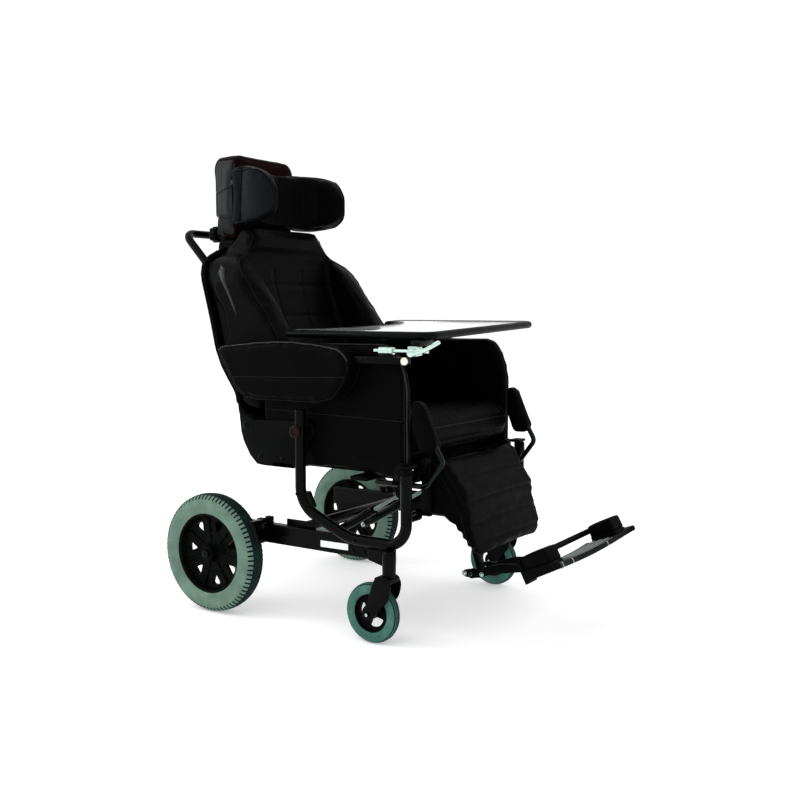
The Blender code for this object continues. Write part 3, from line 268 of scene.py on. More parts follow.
M = {
    "hide": leatherette("leatherette_black", (0.0008, 0.0008, 0.0010), 0.022, 0.42, 0.55),
    # lighter, glossier copy of the black leatherette for the raised roll on each side of the back: a painted highlight
    # along the roll
    "hide_roll": leatherette("leatherette_shoulder_painted_highlight", (0.0110, 0.0120, 0.0145), 0.240, 0.28, 0.38),
    "hide_head": leatherette("leatherette_headrest", (0.0020, 0.0034, 0.0050), 0.060, 0.34, 0.46),
    "hide_red": leatherette("leatherette_headpad_front", (0.0060, 0.0009, 0.0010), 0.012, 0.44, 0.56),
    "hide_pad": leatherette("leatherette_headpad", (0.0120, 0.0142, 0.0160), 0.120, 0.36, 0.48),
    "hide_neck": leatherette("leatherette_neck", (0.0075, 0.0090, 0.0100), 0.080, 0.40, 0.52),
    "hide_side": leatherette("leatherette_back_side", (0.0009, 0.0010, 0.0012), 0.028, 0.36, 0.48),
    "welt": leatherette("piping_black", (0.0008, 0.0010, 0.0011), 0.048, 0.26, 0.36, 900.0),
    # lighter copy of the black piping: a painted highlight, used on the armrest top welt and the seat shell's
    # front-edge welt
    "welt_painted_highlight": leatherette("piping_grey_painted_highlight", (0.0080, 0.0090, 0.0100), 0.220, 0.26, 0.36, 900.0),
    "stitch": thread("stitching_dark", (0.0005, 0.0006, 0.0008)),
    "paint": powder("powder_coat_black", (0.0008, 0.0010, 0.0010), 0.20, 0.32, 0.0, 0.055),
    "paint_gloss": metal("enamel_black_gloss", (0.011, 0.015, 0.014), 0.07, 0.14),
    "paint_dull": powder("powder_coat_satin", (0.0008, 0.0010, 0.0010), 0.40, 0.52, 0.0, 0.035),
    "moulded": moulded("moulded_black", (0.0009, 0.0011, 0.0011), 0.44, 0.60, 0.035),
    "rim": moulded("rim_plastic_black", (0.0007, 0.0010, 0.0009), 0.38, 0.50, 0.030),
    "pin": powder("pin_brown_black", (0.0080, 0.0012, 0.0010), 0.14, 0.22, 0.0, 0.08),
    "buffer": rubber("buffer_rubber_black", (0.0012, 0.0012, 0.0012), 0.2, 0.6, 0.8, 0.04),
    "steel": metal("axle_steel_bright", (0.50, 0.56, 0.53), 0.18, 0.32),
    "dark_bolt": metal("bolt_black_oxide", (0.008, 0.009, 0.010), 0.30, 0.44),
    "rod": metal("strut_rod_bright", (0.16, 0.21, 0.19), 0.12, 0.22, (1.0, 1.0, 1.0)),
    "chrome": metal("clamp_chrome_green", (0.56, 0.72, 0.65), 0.10, 0.22),
    "tyre": rubber("tyre_grey_green", (0.114, 0.186, 0.145), 0.18, 0.60, 0.78, 0.10),
    # darker copy of the tyre rubber for the tread crown and the lug notches: painted shade
    "tread": rubber("tyre_tread_painted_shade", (0.0060, 0.0180, 0.0170), 0.30, 0.60, 0.78, 0.08),
    "caster": rubber("caster_grey_green", (0.046, 0.128, 0.105), 0.26, 0.50, 0.68, 0.12),
    # darker copy of the caster rubber for the groove rows: painted shade in the grooves
    "caster_painted_shade": rubber("caster_groove_painted_shade", (0.005, 0.016, 0.014), 0.2, 0.6, 0.8, 0.06),
    "white": gloss_white("tray_white_gloss", (0.90, 0.93, 0.92)),
    "edge": moulded("tray_edge_black", (0.0010, 0.0014, 0.0014), 0.30, 0.44, 0.050),
    "tread_pad": tread_pad("foot_tread_grey", (0.21, 0.27, 0.24)),
    # darker copy of the tread mat rubber for the rib grooves: painted shade in the grooves
    "groove": tread_pad("foot_tread_groove_painted_shade", (0.012, 0.018, 0.016)),
    "joint": tread_pad("foot_joint_grey", (0.34, 0.42, 0.38)),
    "foam": moulded("foot_block_foam", (0.0010, 0.0011, 0.0012), 0.60, 0.80, 0.030, 420.0),
    "label": vinyl("plain_label", (0.86, 0.88, 0.90)),
    "cap": moulded("cap_ivory", (0.74, 0.72, 0.64), 0.30, 0.42, 0.4),
}


# ---------------------------------------------------------------- mesh helpers
def finish_bm(bm):
    bmesh.ops.recalc_face_normals(bm, faces=bm.faces[:])
    return bm


def bevel_all(bm, width, seg=1, angle=30):
    if width <= 0:
        return bm
    edges = [e for e in bm.edges if len(e.link_faces) == 2
             and e.calc_face_angle(0.0) > math.radians(angle)]
    bmesh.ops.bevel(bm, geom=edges, offset=width, segments=seg, profile=0.5,
                    affect='EDGES', clamp_overlap=True)
    return bm


def prism(outline, axis, a, b, bevel=0.001, seg=2, angle=30):
    bm = bmesh.new()
    lo, hi = min(a, b), max(a, b)

    def at(p, t):
        if axis == 'X':
            return Vector((t, p[0], p[1]))
        if axis == 'Y':
            return Vector((p[0], t, p[1]))
        return Vector((p[0], p[1], t))
    v0 = [bm.verts.new(at(p, lo)) for p in outline]
    v1 = [bm.verts.new(at(p, hi)) for p in outline]
    n = len(outline)
    bm.faces.new(v0)
    bm.faces.new(list(reversed(v1)))
    for i in range(n):
        j = (i + 1) % n
        bm.faces.new((v0[i], v1[i], v1[j], v0[j]))
    finish_bm(bm)
    return bevel_all(bm, bevel, seg, angle)


def box(x0, x1, y0, y1, z0, z1, bevel=0.001, seg=2):
    return prism([(y0, z0), (y1, z0), (y1, z1), (y0, z1)], 'X', x0, x1, bevel, seg)


def frame_for(p, q):
    d = (Vector(q) - Vector(p)).normalized()
    ref = Vector((1, 0, 0)) if abs(d.x) < 0.9 else Vector((0, 0, 1))
    u = d.cross(ref).normalized()
    return d, u, d.cross(u).normalized()


def spin_profile(p, q, profile, seg=40, close=False):
    bm = bmesh.new()
    d, u, w = frame_for(p, q)
    o = Vector(p)
    rings = []
    for t, r in profile:
        if r < 1e-7:
            rings.append([bm.verts.new(o + d * t)])
        else:
            rings.append([bm.verts.new(o + d * t + (u * math.cos(2 * math.pi * k / seg)
                          + w * math.sin(2 * math.pi * k / seg)) * r) for k in range(seg)])
    m = len(rings)
    for i in range(m if close else m - 1):
        a, b = rings[i], rings[(i + 1) % m]
        for k in range(seg):
            j = (k + 1) % seg
            if len(a) == 1 and len(b) > 1:
                bm.faces.new((a[0], b[k], b[j]))
            elif len(b) == 1 and len(a) > 1:
                bm.faces.new((a[k], b[0], a[j]))
            elif len(a) > 1:
                bm.faces.new((a[k], b[k], b[j], a[j]))
    if not close:
        for ring in (rings[0], rings[-1]):
            if len(ring) > 1:
                bm.faces.new(ring)
    return finish_bm(bm)


def rod(p, q, r, seg=32, chamfer=0.0006):
    n = (Vector(q) - Vector(p)).length
    c = min(chamfer, n * 0.3, r * 0.5)
    prof = [(0, r - c), (c * 0.3, r - c * 0.3), (c, r), (n - c, r), (n - c * 0.3, r - c * 0.3), (n, r - c)]
    return spin_profile(p, q, prof, seg)


def rod_x(x0, x1, yz, r, seg=32, chamfer=0.0006):
    return rod((x0, yz[0], yz[1]), (x1, yz[0], yz[1]), r, seg, chamfer)


def dome_bolt(p, q, r, h, hexed=False):
    """Bolt head whose base is at p, facing along p to q: washer, dome and socket."""
    o, d = Vector(p), (Vector(q) - Vector(p)).normalized()
    end = o + d
    out = [spin_profile(o, end, [(0, r * 1.35), (h * 0.18, r * 1.35), (h * 0.24, r * 1.28), (h * 0.24, 0.0)], 28)]
    if hexed:
        out.append(bevel_all(spin_profile(o + d * h * 0.2, end, [(0, r), (h * 0.8, r)], 6), r * 0.12, 2))
    else:
        prof = [(0, r), (h * 0.35, r), (h * 0.62, r * 0.88), (h * 0.80, r * 0.62), (h * 0.86, r * 0.45),
                (h * 0.60, r * 0.42), (h * 0.60, 0.0)]
        out.append(spin_profile(o + d * h * 0.2, end, prof, 28))
    return out


def fillet_path(points, radii, step=6.0):
    pts = [Vector(p) for p in points]
    out = [pts[0]]
    for i in range(1, len(pts) - 1):
        r = radii[i - 1]
        a = (pts[i - 1] - pts[i]).normalized()
        b = (pts[i + 1] - pts[i]).normalized()
        turn = math.pi - a.angle(b)
        tan = r * math.tan(turn / 2)
        start, end = pts[i] + a * tan, pts[i] + b * tan
        mid = (a + b).normalized()
        centre = pts[i] + mid * math.hypot(r, tan)
        va, vb = start - centre, end - centre
        n = max(2, int(round(math.degrees(turn) / step)))
        axis = va.cross(vb).normalized()
        for k in range(n + 1):
            out.append(centre + Matrix.Rotation(turn * k / n, 3, axis) @ va)
    out.append(pts[-1])
    return out


def sweep(path, r, seg=24, closed=False, cap=0.0):
    bm = bmesh.new()
    pts = [Vector(p) for p in path]
    n = len(pts)
    tang = []
    for i in range(n):
        if closed:
            t = (pts[(i + 1) % n] - pts[i - 1]).normalized()
        else:
            a, b = pts[max(i - 1, 0)], pts[min(i + 1, n - 1)]
            t = (b - a).normalized()
            if 0 < i < n - 1:
                t = ((pts[i] - pts[i - 1]).normalized() + (pts[i + 1] - pts[i]).normalized()).normalized()
        tang.append(t)
    ref = Vector((1, 0, 0)) if abs(tang[0].x) < 0.8 else Vector((0, 0, 1))
    u = tang[0].cross(ref).normalized()
    rings = []
    us = []
    for i in range(n):
        if i:
            q = tang[i - 1].rotation_difference(tang[i])
            u = q @ u
            u = (u - tang[i] * u.dot(tang[i])).normalized()
        us.append(u.copy())
    twist = 0.0
    if closed:
        q = tang[-1].rotation_difference(tang[0])
        ue = q @ us[-1]
        w0 = tang[0].cross(us[0])
        twist = math.atan2(ue.dot(w0), ue.dot(us[0]))
    for i in range(n):
        rr = r[i] if isinstance(r, (list, tuple)) else r
        w = tang[i].cross(us[i])
        off = -twist * i / n
        rings.append([bm.verts.new(pts[i] + (us[i] * math.cos(2 * math.pi * k / seg + off)
                      + w * math.sin(2 * math.pi * k / seg + off)) * rr) for k in range(seg)])
    for i in range(n if closed else n - 1):
        a, b = rings[i], rings[(i + 1) % n]
        for k in range(seg):
            j = (k + 1) % seg
            bm.faces.new((a[k], a[j], b[j], b[k]))
    if not closed:
        bm.faces.new(rings[0])
        bm.faces.new(rings[-1])
    return finish_bm(bm)


def turned(bm, angle, point, axis):
    m = Matrix.Translation(Vector(point)) @ Matrix.Rotation(angle, 4, axis) @ Matrix.Translation(-Vector(point))
    bmesh.ops.transform(bm, matrix=m, verts=bm.verts[:])
    return bm


def round_poly(points, r, step=9.0):
    n = len(points)
    rr = r if isinstance(r, (list, tuple)) else [r] * n
    out = []
    for i in range(n):
        p = Vector((points[i][0], points[i][1], 0))
        a = Vector((points[i - 1][0], points[i - 1][1], 0)) - p
        b = Vector((points[(i + 1) % n][0], points[(i + 1) % n][1], 0)) - p
        la, lb = a.length, b.length
        a.normalize()
        b.normalize()
        turn = math.pi - a.angle(b)
        rad = rr[i]
        tan = rad * math.tan(turn / 2)
        lim = 0.48 * min(la, lb)
        if tan > lim:
            rad *= lim / tan
            tan = lim
        if rad < 1e-5 or turn < 0.05:
            out.append((p.x, p.y))
            continue
        centre = p + (a + b).normalized() * math.hypot(rad, tan)
        va = p + a * tan - centre
        vb = p + b * tan - centre
        k = max(1, int(round(math.degrees(turn) / step)))
        ax = va.cross(vb).normalized()
        for j in range(k + 1):
            c = centre + Matrix.Rotation(turn * j / k, 3, ax) @ va
            out.append((c.x, c.y))
    return out


def spline(points, n=6, closed=False):
    """Catmull-Rom through 2-D or 3-D points."""
    pts = [Vector(p) if len(p) == 3 else Vector((p[0], p[1], 0)) for p in points]
    m = len(pts)
    out = []
    for i in range(m if closed else m - 1):
        p0 = pts[(i - 1) % m] if closed or i > 0 else pts[i] * 2 - pts[i + 1]
        p1, p2 = pts[i], pts[(i + 1) % m]
        p3 = pts[(i + 2) % m] if closed or i + 2 < m else pts[i + 1] * 2 - pts[i]
        for k in range(n):
            t = k / n
            out.append(0.5 * ((2 * p1) + (p2 - p0) * t + (2 * p0 - 5 * p1 + 4 * p2 - p3) * t * t
                              + (3 * p1 - p0 - 3 * p2 + p3) * t ** 3))
    if not closed:
        out.append(pts[-1])
    return out if len(points[0]) == 3 else [(p.x, p.y) for p in out]


def even(path, step, closed=False):
    """Points at an even step along a path."""
    pts = [Vector(p) for p in path]
    if closed:
        pts.append(pts[0])
    cum = [0.0]
    for a, b in zip(pts, pts[1:]):
        cum.append(cum[-1] + (b - a).length)
    total = cum[-1]
    n = max(2, int(round(total / step)))
    out = []
    j = 0
    for k in range(n if closed else n + 1):
        t = total * k / n
        while j < len(cum) - 2 and cum[j + 1] < t:
            j += 1
        span = cum[j + 1] - cum[j]
        f = 0 if span < 1e-9 else (t - cum[j]) / span
        out.append(pts[j].lerp(pts[j + 1], f))
    return out


def joined(shapes):
    """One mesh out of (bmesh, material index) pairs or bare bmeshes."""
    out = bmesh.new()
    flat = []
    for s in shapes:
        if isinstance(s, list):
            flat.extend(s)
        else:
            flat.append(s)
    for s in flat:
        bm, mi = s if isinstance(s, tuple) else (s, None)
        if mi is not None:
            for f in bm.faces:
                f.material_index = mi
        me = bpy.data.meshes.new("tmp")
        bm.to_mesh(me)
        bm.free()
        out.from_mesh(me)
        bpy.data.meshes.remove(me)
    return out


def tinted(bms, mi):
    return [(b, mi) for b in (bms if isinstance(bms, list) else [bms])]


def put(name, me, mats, body, stands=(), angle=35.0):
    for p in me.polygons:
        p.use_smooth = True
    me.set_sharp_from_angle(angle=math.radians(angle))
    for m in (mats if isinstance(mats, (list, tuple)) else [mats]):
        me.materials.append(m)
    ob = bpy.data.objects.new(name, me)
    COL.objects.link(ob)
    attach(ob, body)
    if stands:
        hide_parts(*stands)
    return ob


def hard(name, node, shapes, mats, angle=35.0, stands=True):
    """A rigid piece out of closed shells, standing for a CAD node and riding with it."""
    bm = joined(shapes)
    bmesh.ops.translate(bm, vec=(0, S, 0), verts=bm.verts[:])
    me = bpy.data.meshes.new(name)
    bm.to_mesh(me)
    bm.free()
    return put(name, me, mats, BODY[node], (node,) if stands else (), angle)


def carve(bm, cutter):
    """bm minus cutter, as a new bmesh."""
    obs = []
    for b in (bm, cutter):
        me = bpy.data.meshes.new("tmp")
        b.to_mesh(me)
        b.free()
        o = bpy.data.objects.new("tmp", me)
        COL.objects.link(o)
        obs.append(o)
    mod = obs[0].modifiers.new("cut", 'BOOLEAN')
    mod.operation, mod.solver, mod.object = 'DIFFERENCE', 'EXACT', obs[1]
    bpy.context.view_layer.update()
    got = bpy.data.meshes.new_from_object(obs[0].evaluated_get(bpy.context.evaluated_depsgraph_get()))
    out = bmesh.new()
    out.from_mesh(got)
    for o in obs:
        bpy.data.objects.remove(o, do_unlink=True)
    bpy.data.meshes.remove(got)
    return out


def side(s):
    return "R" if s < 0 else "L"


def foot(u, v):
    return (FOOT_O[0] + FOOT_U[0] * u + FOOT_V[0] * v, FOOT_O[1] + FOOT_U[1] * u + FOOT_V[1] * v)


def arc(c, r, a0, a1, n):
    return [(c[0] + r * math.cos(math.radians(a0 + (a1 - a0) * k / n)),
             c[1] + r * math.sin(math.radians(a0 + (a1 - a0) * k / n))) for k in range(n + 1)]


# ---------------------------------------------------------------- chassis
def chassis():
    for s in (-1, 1):
        n = side(s)
        beam = prism(round_poly([(0.035, BEAM_Z0), (0.035, BEAM_Z1), (-0.490, BEAM_Z1), (-0.490, BEAM_Z0)],
                                [0.004, 0.004, 0.016, 0.012]), 'X', s * BEAM_IN, s * BEAM_OUT, 0.0045, 4)
        cap = prism(round_poly([(0.0365, BEAM_Z0 + 0.003), (0.0365, BEAM_Z1 - 0.003), (0.030, BEAM_Z1 - 0.003),
                                (0.030, BEAM_Z0 + 0.003)], 0.002), 'X', s * (BEAM_IN + 0.003), s * (BEAM_OUT - 0.003), 0.001, 2)
        bracket = prism(spline([(-0.085, 0.203), (-0.030, 0.2035), (0.028, 0.203), (0.026, 0.180), (0.024, 0.160), (0.017, 0.144),
                                (0.004, 0.137), (-0.010, 0.139), (-0.022, 0.150), (-0.045, 0.176)], 4, True),
                        'X', s * 0.263, s * 0.279, 0.001, 2)
        boss = rod_x(s * 0.2500, s * 0.2966, (0.0, 0.160), 0.017, 48, 0.002)
        lug = box(*sorted((s * 0.263, s * 0.279)), -0.160, -0.140, 0.240, 0.2655, 0.003, 3)
        strap = box(*sorted((s * 0.261, s * 0.267)), -0.300, -0.205, 0.2400, 0.2640, 0.002, 2)
        spacer = box(*sorted((s * 0.281, s * 0.2857)), -0.480, -0.440, 0.232, 0.2445, 0.001)
        bolts = []
        for y, z in ((-0.468, 0.2120), (-0.4320, 0.2120), (-0.4460, 0.2385)):
            bolts += dome_bolt((s * 0.2836, y, z), (s * 0.40, y, z), 0.0042, 0.0042)
        for y in (-0.288, -0.217):
            bolts += dome_bolt((s * 0.2608, y, 0.2555), (s * 0.10, y, 0.2555), 0.0042, 0.0040, True)
        bolts += dome_bolt((s * 0.2790, -0.150, 0.256), (s * 0.40, -0.150, 0.256), 0.0060, 0.0030)
        shapes = [(beam, 0), (cap, 1), (bracket, 0), (boss, 0), (lug, 0), (strap, 0), (spacer, 0)]
        shapes += tinted(bolts, 4)
        weld = sweep(even([(s * 0.2838, -0.030 + 0.001 * k, 0.1965) for k in range(40)], 0.004), 0.0016, 8)
        shapes.append((weld, 0))
        if s < 0:
            plate = prism(round_poly([(-0.3310, 0.2085), (-0.3310, 0.2250), (-0.4180, 0.2263), (-0.4180, 0.2100)], 0.0014),
                          'X', -0.2838, -0.2846, 0.0003, 1)
            shapes.append((plate, 3))
        hard("side_beam_" + n, "beam_" + n, shapes, [M["paint"], M["moulded"], M["steel"], M["label"], M["dark_bolt"]])

        path = fillet_path([(s * TUBE_X, REAR_LEG_Y, 0.560), (s * TUBE_X, REAR_LEG_Y, 0.3136),
                            (s * TUBE_X, -0.4350, 0.2450), (s * TUBE_X, FRONT_LEG_Y, 0.2450),
                            (s * TUBE_X, FRONT_LEG_Y, 0.420)], [0.075, 0.150, 0.055], 4)
        web = prism([(-0.2880, 0.3500), (-0.3110, 0.3530), (-0.3300, 0.3160), (-0.3130, 0.3000)],
                    'X', s * 0.2960, s * 0.3040, 0.001, 2)
        shapes = [(sweep(path, TUBE_R, 36), 0), (web, 0)]
        shapes += tinted(dome_bolt((s * 0.3135, REAR_LEG_Y, 0.3450), (s * 0.5, REAR_LEG_Y, 0.3450), 0.0046, 0.0050), 1)
        shapes += tinted(dome_bolt((s * 0.3135, -0.4580, 0.2450), (s * 0.5, -0.4580, 0.2450), 0.0044, 0.0045), 1)
        collar = spin_profile((s * TUBE_X, FRONT_LEG_Y, 0.396), (s * TUBE_X, FRONT_LEG_Y, 0.420),
                              [(0, 0.0140), (0.001, 0.0152), (0.023, 0.0152), (0.024, 0.0140)], 40)
        shapes.append((collar, 0))
        hard("u_tube_" + n, "side_tube_" + n, shapes, [M["paint"], M["dark_bolt"]])

        stem = (s * CAST_X, SWIVEL_Y)
        housing = spin_profile((stem[0], stem[1], 0.174), (stem[0], stem[1], 0.2360),
                               [(0, 0.0150), (0.0010, 0.0165), (0.0040, 0.0168), (0.0050, 0.0160), (0.0065, 0.0160), (0.0080, 0.0168),
                                (0.0520, 0.0168), (0.0555, 0.0160), (0.0566, 0.0150), (0.0600, 0.0138), (0.0615, 0.0100), (0.0620, 0.0)], 48)
        gusset = prism(round_poly([(-0.4906, 0.2290), (-0.5520, 0.2290), (-0.5520, 0.1880), (-0.5400, 0.1880),
                                   (-0.4906, 0.2000)], 0.003), 'X', s * 0.266, s * 0.303, 0.0025, 3)
        hard("caster_head_" + n, "caster_housing_" + n, [(gusset, 0), (housing, 0)], [M["paint"]])

        head = spin_profile((s * 0.2780, *PIVOT), (s * 0.40, *PIVOT),
                            [(0, 0.008), (0.0365, 0.008), (0.0365, 0.0150), (0.0380, 0.0160), (0.0420, 0.0160), (0.0430, 0.0150),
                             (0.0440, 0.0150), (0.0450, 0.0160), (0.0465, 0.0158), (0.0480, 0.0140), (0.0485, 0.0120),
                             (0.0478, 0.0100), (0.0478, 0.0)], 48)
        hard("pivot_head_" + n, "tilt_pin_" + n, [head], [M["pin"]])
        buf = spin_profile((s * TUBE_X, FRONT_LEG_Y, 0.4203), (s * TUBE_X, FRONT_LEG_Y, 0.45),
                           [(0, 0.0136), (0.0012, 0.0150), (0.0040, 0.0152), (0.0050, 0.0142), (0.0062, 0.0142), (0.0074, 0.0152),
                            (0.0110, 0.0148), (0.0136, 0.0120), (0.0144, 0.0080), (0.0144, 0.0)], 40)
        hard("stop_buffer_" + n, "rest_buffer_" + n, [buf], [M["buffer"]])

    shapes = [(rod_x(-0.2567, 0.2567, (-0.215, 0.231), 0.014, 36, 0.001), 0)]
    for x in (-STRUT_X, STRUT_X):
        for c in (-0.010, 0.010):
            shapes.append((prism(spline([(-0.226, 0.231), (-0.215, 0.2330), (-0.204, 0.231), (-0.204, 0.210), (-0.204, 0.190), (-0.208, 0.180),
                                         (-0.215, 0.1765), (-0.222, 0.180), (-0.226, 0.190), (-0.226, 0.210)], 3, True),
                                 'X', x + c - 0.002, x + c + 0.002, 0.0005, 1), 0))
        shapes.append((rod_x(x - 0.0120, x + 0.0120, STRUT_LO, 0.004, 24), 1))
        shapes += tinted(dome_bolt((x - 0.0120, *STRUT_LO), (x - 0.1, *STRUT_LO), 0.0052, 0.0036, True), 1)
        shapes += tinted(dome_bolt((x + 0.0120, *STRUT_LO), (x + 0.1, *STRUT_LO), 0.0052, 0.0036, True), 1)
    hard("cross_tube_rear", "rear_cross_tube", shapes, [M["paint"], M["steel"]])
    bow = [(-0.2857, FRONT_LEG_Y, 0.309), (-0.2300, FRONT_LEG_Y, 0.309), (-0.2300, -0.5510, 0.300),
           (0.2300, -0.5510, 0.300), (0.2300, FRONT_LEG_Y, 0.309), (0.2857, FRONT_LEG_Y, 0.309)]
    hard("cross_tube_front", "front_cross_tube", [sweep(fillet_path(bow, [0.016] * 4, 8), 0.0075, 28)], [M["paint"]])


# ---------------------------------------------------------------- wheels
def wheel_mesh(cx, cy, cz, rows, seg, shape=None):
    """Closed ring section turned about the X axis. rows are (dx, r, material); shape moves a point."""
    bm = bmesh.new()
    rings = []
    for i, (dx, r, mi) in enumerate(rows):
        ring = []
        for k in range(seg):
            a, b = (dx, r) if shape is None else shape(i, k, dx, r)
            t = 2 * math.pi * k / seg
            ring.append(bm.verts.new((cx + a, cy + b * math.cos(t), cz + b * math.sin(t))))
        rings.append(ring)
    m = len(rings)
    for i in range(m):
        a, b = rings[i], rings[(i + 1) % m]
        for k in range(seg):
            j = (k + 1) % seg
            f = bm.faces.new((a[k], b[k], b[j], a[j]))
            f.material_index = rows[i][2]
    return finish_bm(bm)


def mirrored_rows(half):
    """half runs from the inner bead to the crown on +X; the other side is its mirror."""
    out = list(half)
    rest = list(reversed(half))
    for i, (dx, r, mi) in enumerate(rest):
        if abs(dx) < 1e-9:
            continue
        nxt = rest[i + 1][2] if i + 1 < len(rest) else rest[i][2]
        out.append((-dx, r, nxt))
    return out


def window(cy, cz, pts, ang, x0, x1):
    ca, sa = math.cos(ang), math.sin(ang)
    line = spline([(r, math.radians(a)) for r, a in pts], 5, True)
    out = []
    for r, a in line:
        y, z = r * math.cos(a), r * math.sin(a)
        out.append((cy + y * ca - z * sa, cz + y * sa + z * ca))
    return prism(out, 'X', x0, x1, 0.0)


def wheels():
    notches, per = 76, 5
    for s in (-1, 1):
        n = side(s)
        # Rows marked 1 take the darker tread material across the crown: painted shade on the tread.
        half = [(0.0170, 0.1125, 0), (0.0235, 0.1085, 0), (0.0252, 0.1078, 0), (0.0264, 0.1088, 0), (0.0268, 0.1108, 0),
                (0.0270, 0.1116, 0), (0.0277, 0.1124, 0), (0.0290, 0.1190, 0), (0.0301, 0.1265, 0), (0.0305, 0.1345, 0),
                (0.0301, 0.1410, 0), (0.0293, 0.1452, 0), (0.0287, 0.1464, 0), (0.0281, 0.1470, 0), (0.0281, 0.1480, 0),
                (0.0276, 0.1494, 0), (0.0258, 0.1519, 0), (0.0236, 0.1541, 0), (0.0210, 0.1560, 0), (0.0184, 0.1573, 1),
                (0.0172, 0.1577, 1), (0.0164, 0.1560, 1), (0.0146, 0.1561, 1), (0.0138, 0.1584, 1), (0.0080, 0.1594, 1),
                (0.0070, 0.1594, 1), (0.0062, 0.1574, 1), (0.0044, 0.1574, 1), (0.0036, 0.1598, 1), (0.0000, 0.1600, 1)]
        rows = mirrored_rows(half)

        def lug(i, k, dx, r):
            if 0.1490 < r < 0.1578 and abs(dx) > 0.0172:
                if k % per == 0:
                    f = 0.0036 if r > 0.1500 else 0.0012
                    d = math.hypot(dx, r - 0.134)
                    return dx - f * dx / d * 0.9, r - f * (r - 0.134) / d
            elif r > 0.1583 and abs(dx) > 0.0075:
                if (k + 2) % per == 0:
                    return dx, r - 0.0022
            elif r > 0.1590 and abs(dx) < 0.0040:
                if (k + (0 if dx < 0 else 2)) % (per * 2) == 0:
                    return dx, r - 0.0018
            return dx, r
        tyre = wheel_mesh(s * REAR_X, 0.0, REAR_R, rows, notches * per, lug)
        tyre.faces.ensure_lookup_table()
        seg = notches * per
        # The notch faces between the shoulder lugs take the darker tread material: painted shade in the notches.
        for i, (dx, r, mi) in enumerate(rows):
            if mi == 0 and 0.1478 < r < 0.1575 and abs(dx) > 0.0172:
                for k in range(seg):
                    if k % per in (0, per - 1):
                        tyre.faces[i * seg + k].material_index = 1
        hard("rear_tyre_moulded_" + n, "rear_tyre_" + n, [tyre], [M["tyre"], M["tread"]], 28)

        prof = [(-0.0290, 0.0066), (-0.0295, 0.0080), (-0.0295, 0.0165), (-0.0285, 0.0180), (-0.0270, 0.0185), (-0.0262, 0.0210),
                (-0.0120, 0.0235), (-0.0075, 0.0275), (-0.0058, 0.0340), (-0.0052, 0.0470), (-0.0068, 0.0500), (-0.0068, 0.0515),
                (-0.0052, 0.0540), (-0.0052, 0.0915), (-0.0070, 0.0950), (-0.0120, 0.0978), (-0.0190, 0.1000), (-0.0226, 0.1018),
                (-0.0234, 0.1036), (-0.0236, 0.1130), (-0.0200, 0.1142)]
        prof = prof + [(-t, r) for t, r in reversed(prof)]
        c0, c1 = (s * REAR_X, 0.0, REAR_R), (s * REAR_X + 1.0, 0.0, REAR_R)
        disc = spin_profile(c0, c1, prof, 112, True)
        drop = [(0.0570, 0.0), (0.0600, 2.6), (0.0680, 5.4), (0.0770, 8.2), (0.0840, 8.9), (0.0880, 5.6), (0.0893, 0.0),
                (0.0880, -5.6), (0.0840, -8.9), (0.0770, -8.2), (0.0680, -5.4), (0.0600, -2.6)]
        cut = joined([window(0.0, REAR_R, drop, math.radians(4.7 + 360.0 * k / 7), s * REAR_X - 0.03, s * REAR_X + 0.03)
                      for k in range(7)])
        disc = carve(disc, cut)
        shapes = [(disc, 0)]
        for k in range(7):
            a = math.radians(4.7 + 360.0 * (k + 0.5) / 7)
            for e in (-1, 1):
                o = Vector((s * REAR_X + e * 0.0046, 0.028 * math.cos(a), REAR_R + 0.028 * math.sin(a)))
                q = Vector((s * REAR_X + e * 0.0060, 0.0930 * math.cos(a), REAR_R + 0.0930 * math.sin(a)))
                rib = sweep([o, o.lerp(q, 0.3), o.lerp(q, 0.7), q], [0.0046, 0.0038, 0.0036, 0.0050], 12)
                shapes.append((rib, 0))
        va = math.radians(-72.5)
        v0 = Vector((s * (REAR_X + 0.0), 0.1010 * math.cos(va), REAR_R + 0.1010 * math.sin(va)))
        v1 = Vector((s * (REAR_X + 0.0115), 0.0855 * math.cos(va), REAR_R + 0.0855 * math.sin(va)))
        shapes.append((rod(v0, v1, 0.0031, 16, 0.001), 0))
        shapes.append((rod(v1 - (v1 - v0) * 0.28, v1 + (v1 - v0) * 0.05, 0.0039, 16, 0.001), 0))
        hard("rear_rim_moulded_" + n, "rear_rim_" + n, shapes, [M["rim"]], 32)

        shaft = rod_x(s * 0.2430, s * 0.3575, (0.0, REAR_R), 0.0060, 28)
        nut = bevel_all(spin_profile((s * 0.2440, 0.0, REAR_R), (s * 0.50, 0.0, REAR_R), [(0, 0.0105), (0.0057, 0.0105)], 6), 0.0012, 2)
        capn = spin_profile((s * 0.3560, 0.0, REAR_R), (s * 0.50, 0.0, REAR_R),
                            [(0, 0.0090), (0, 0.0105), (0.0040, 0.0105), (0.0060, 0.0092), (0.0070, 0.0064), (0.0070, 0.0050),
                             (0.0052, 0.0046), (0.0052, 0.0)], 32)
        hard("rear_spindle_" + n, "rear_axle_" + n, [(shaft, 1), (nut, 1), (capn, 0)], [M["dark_bolt"], M["steel"]])

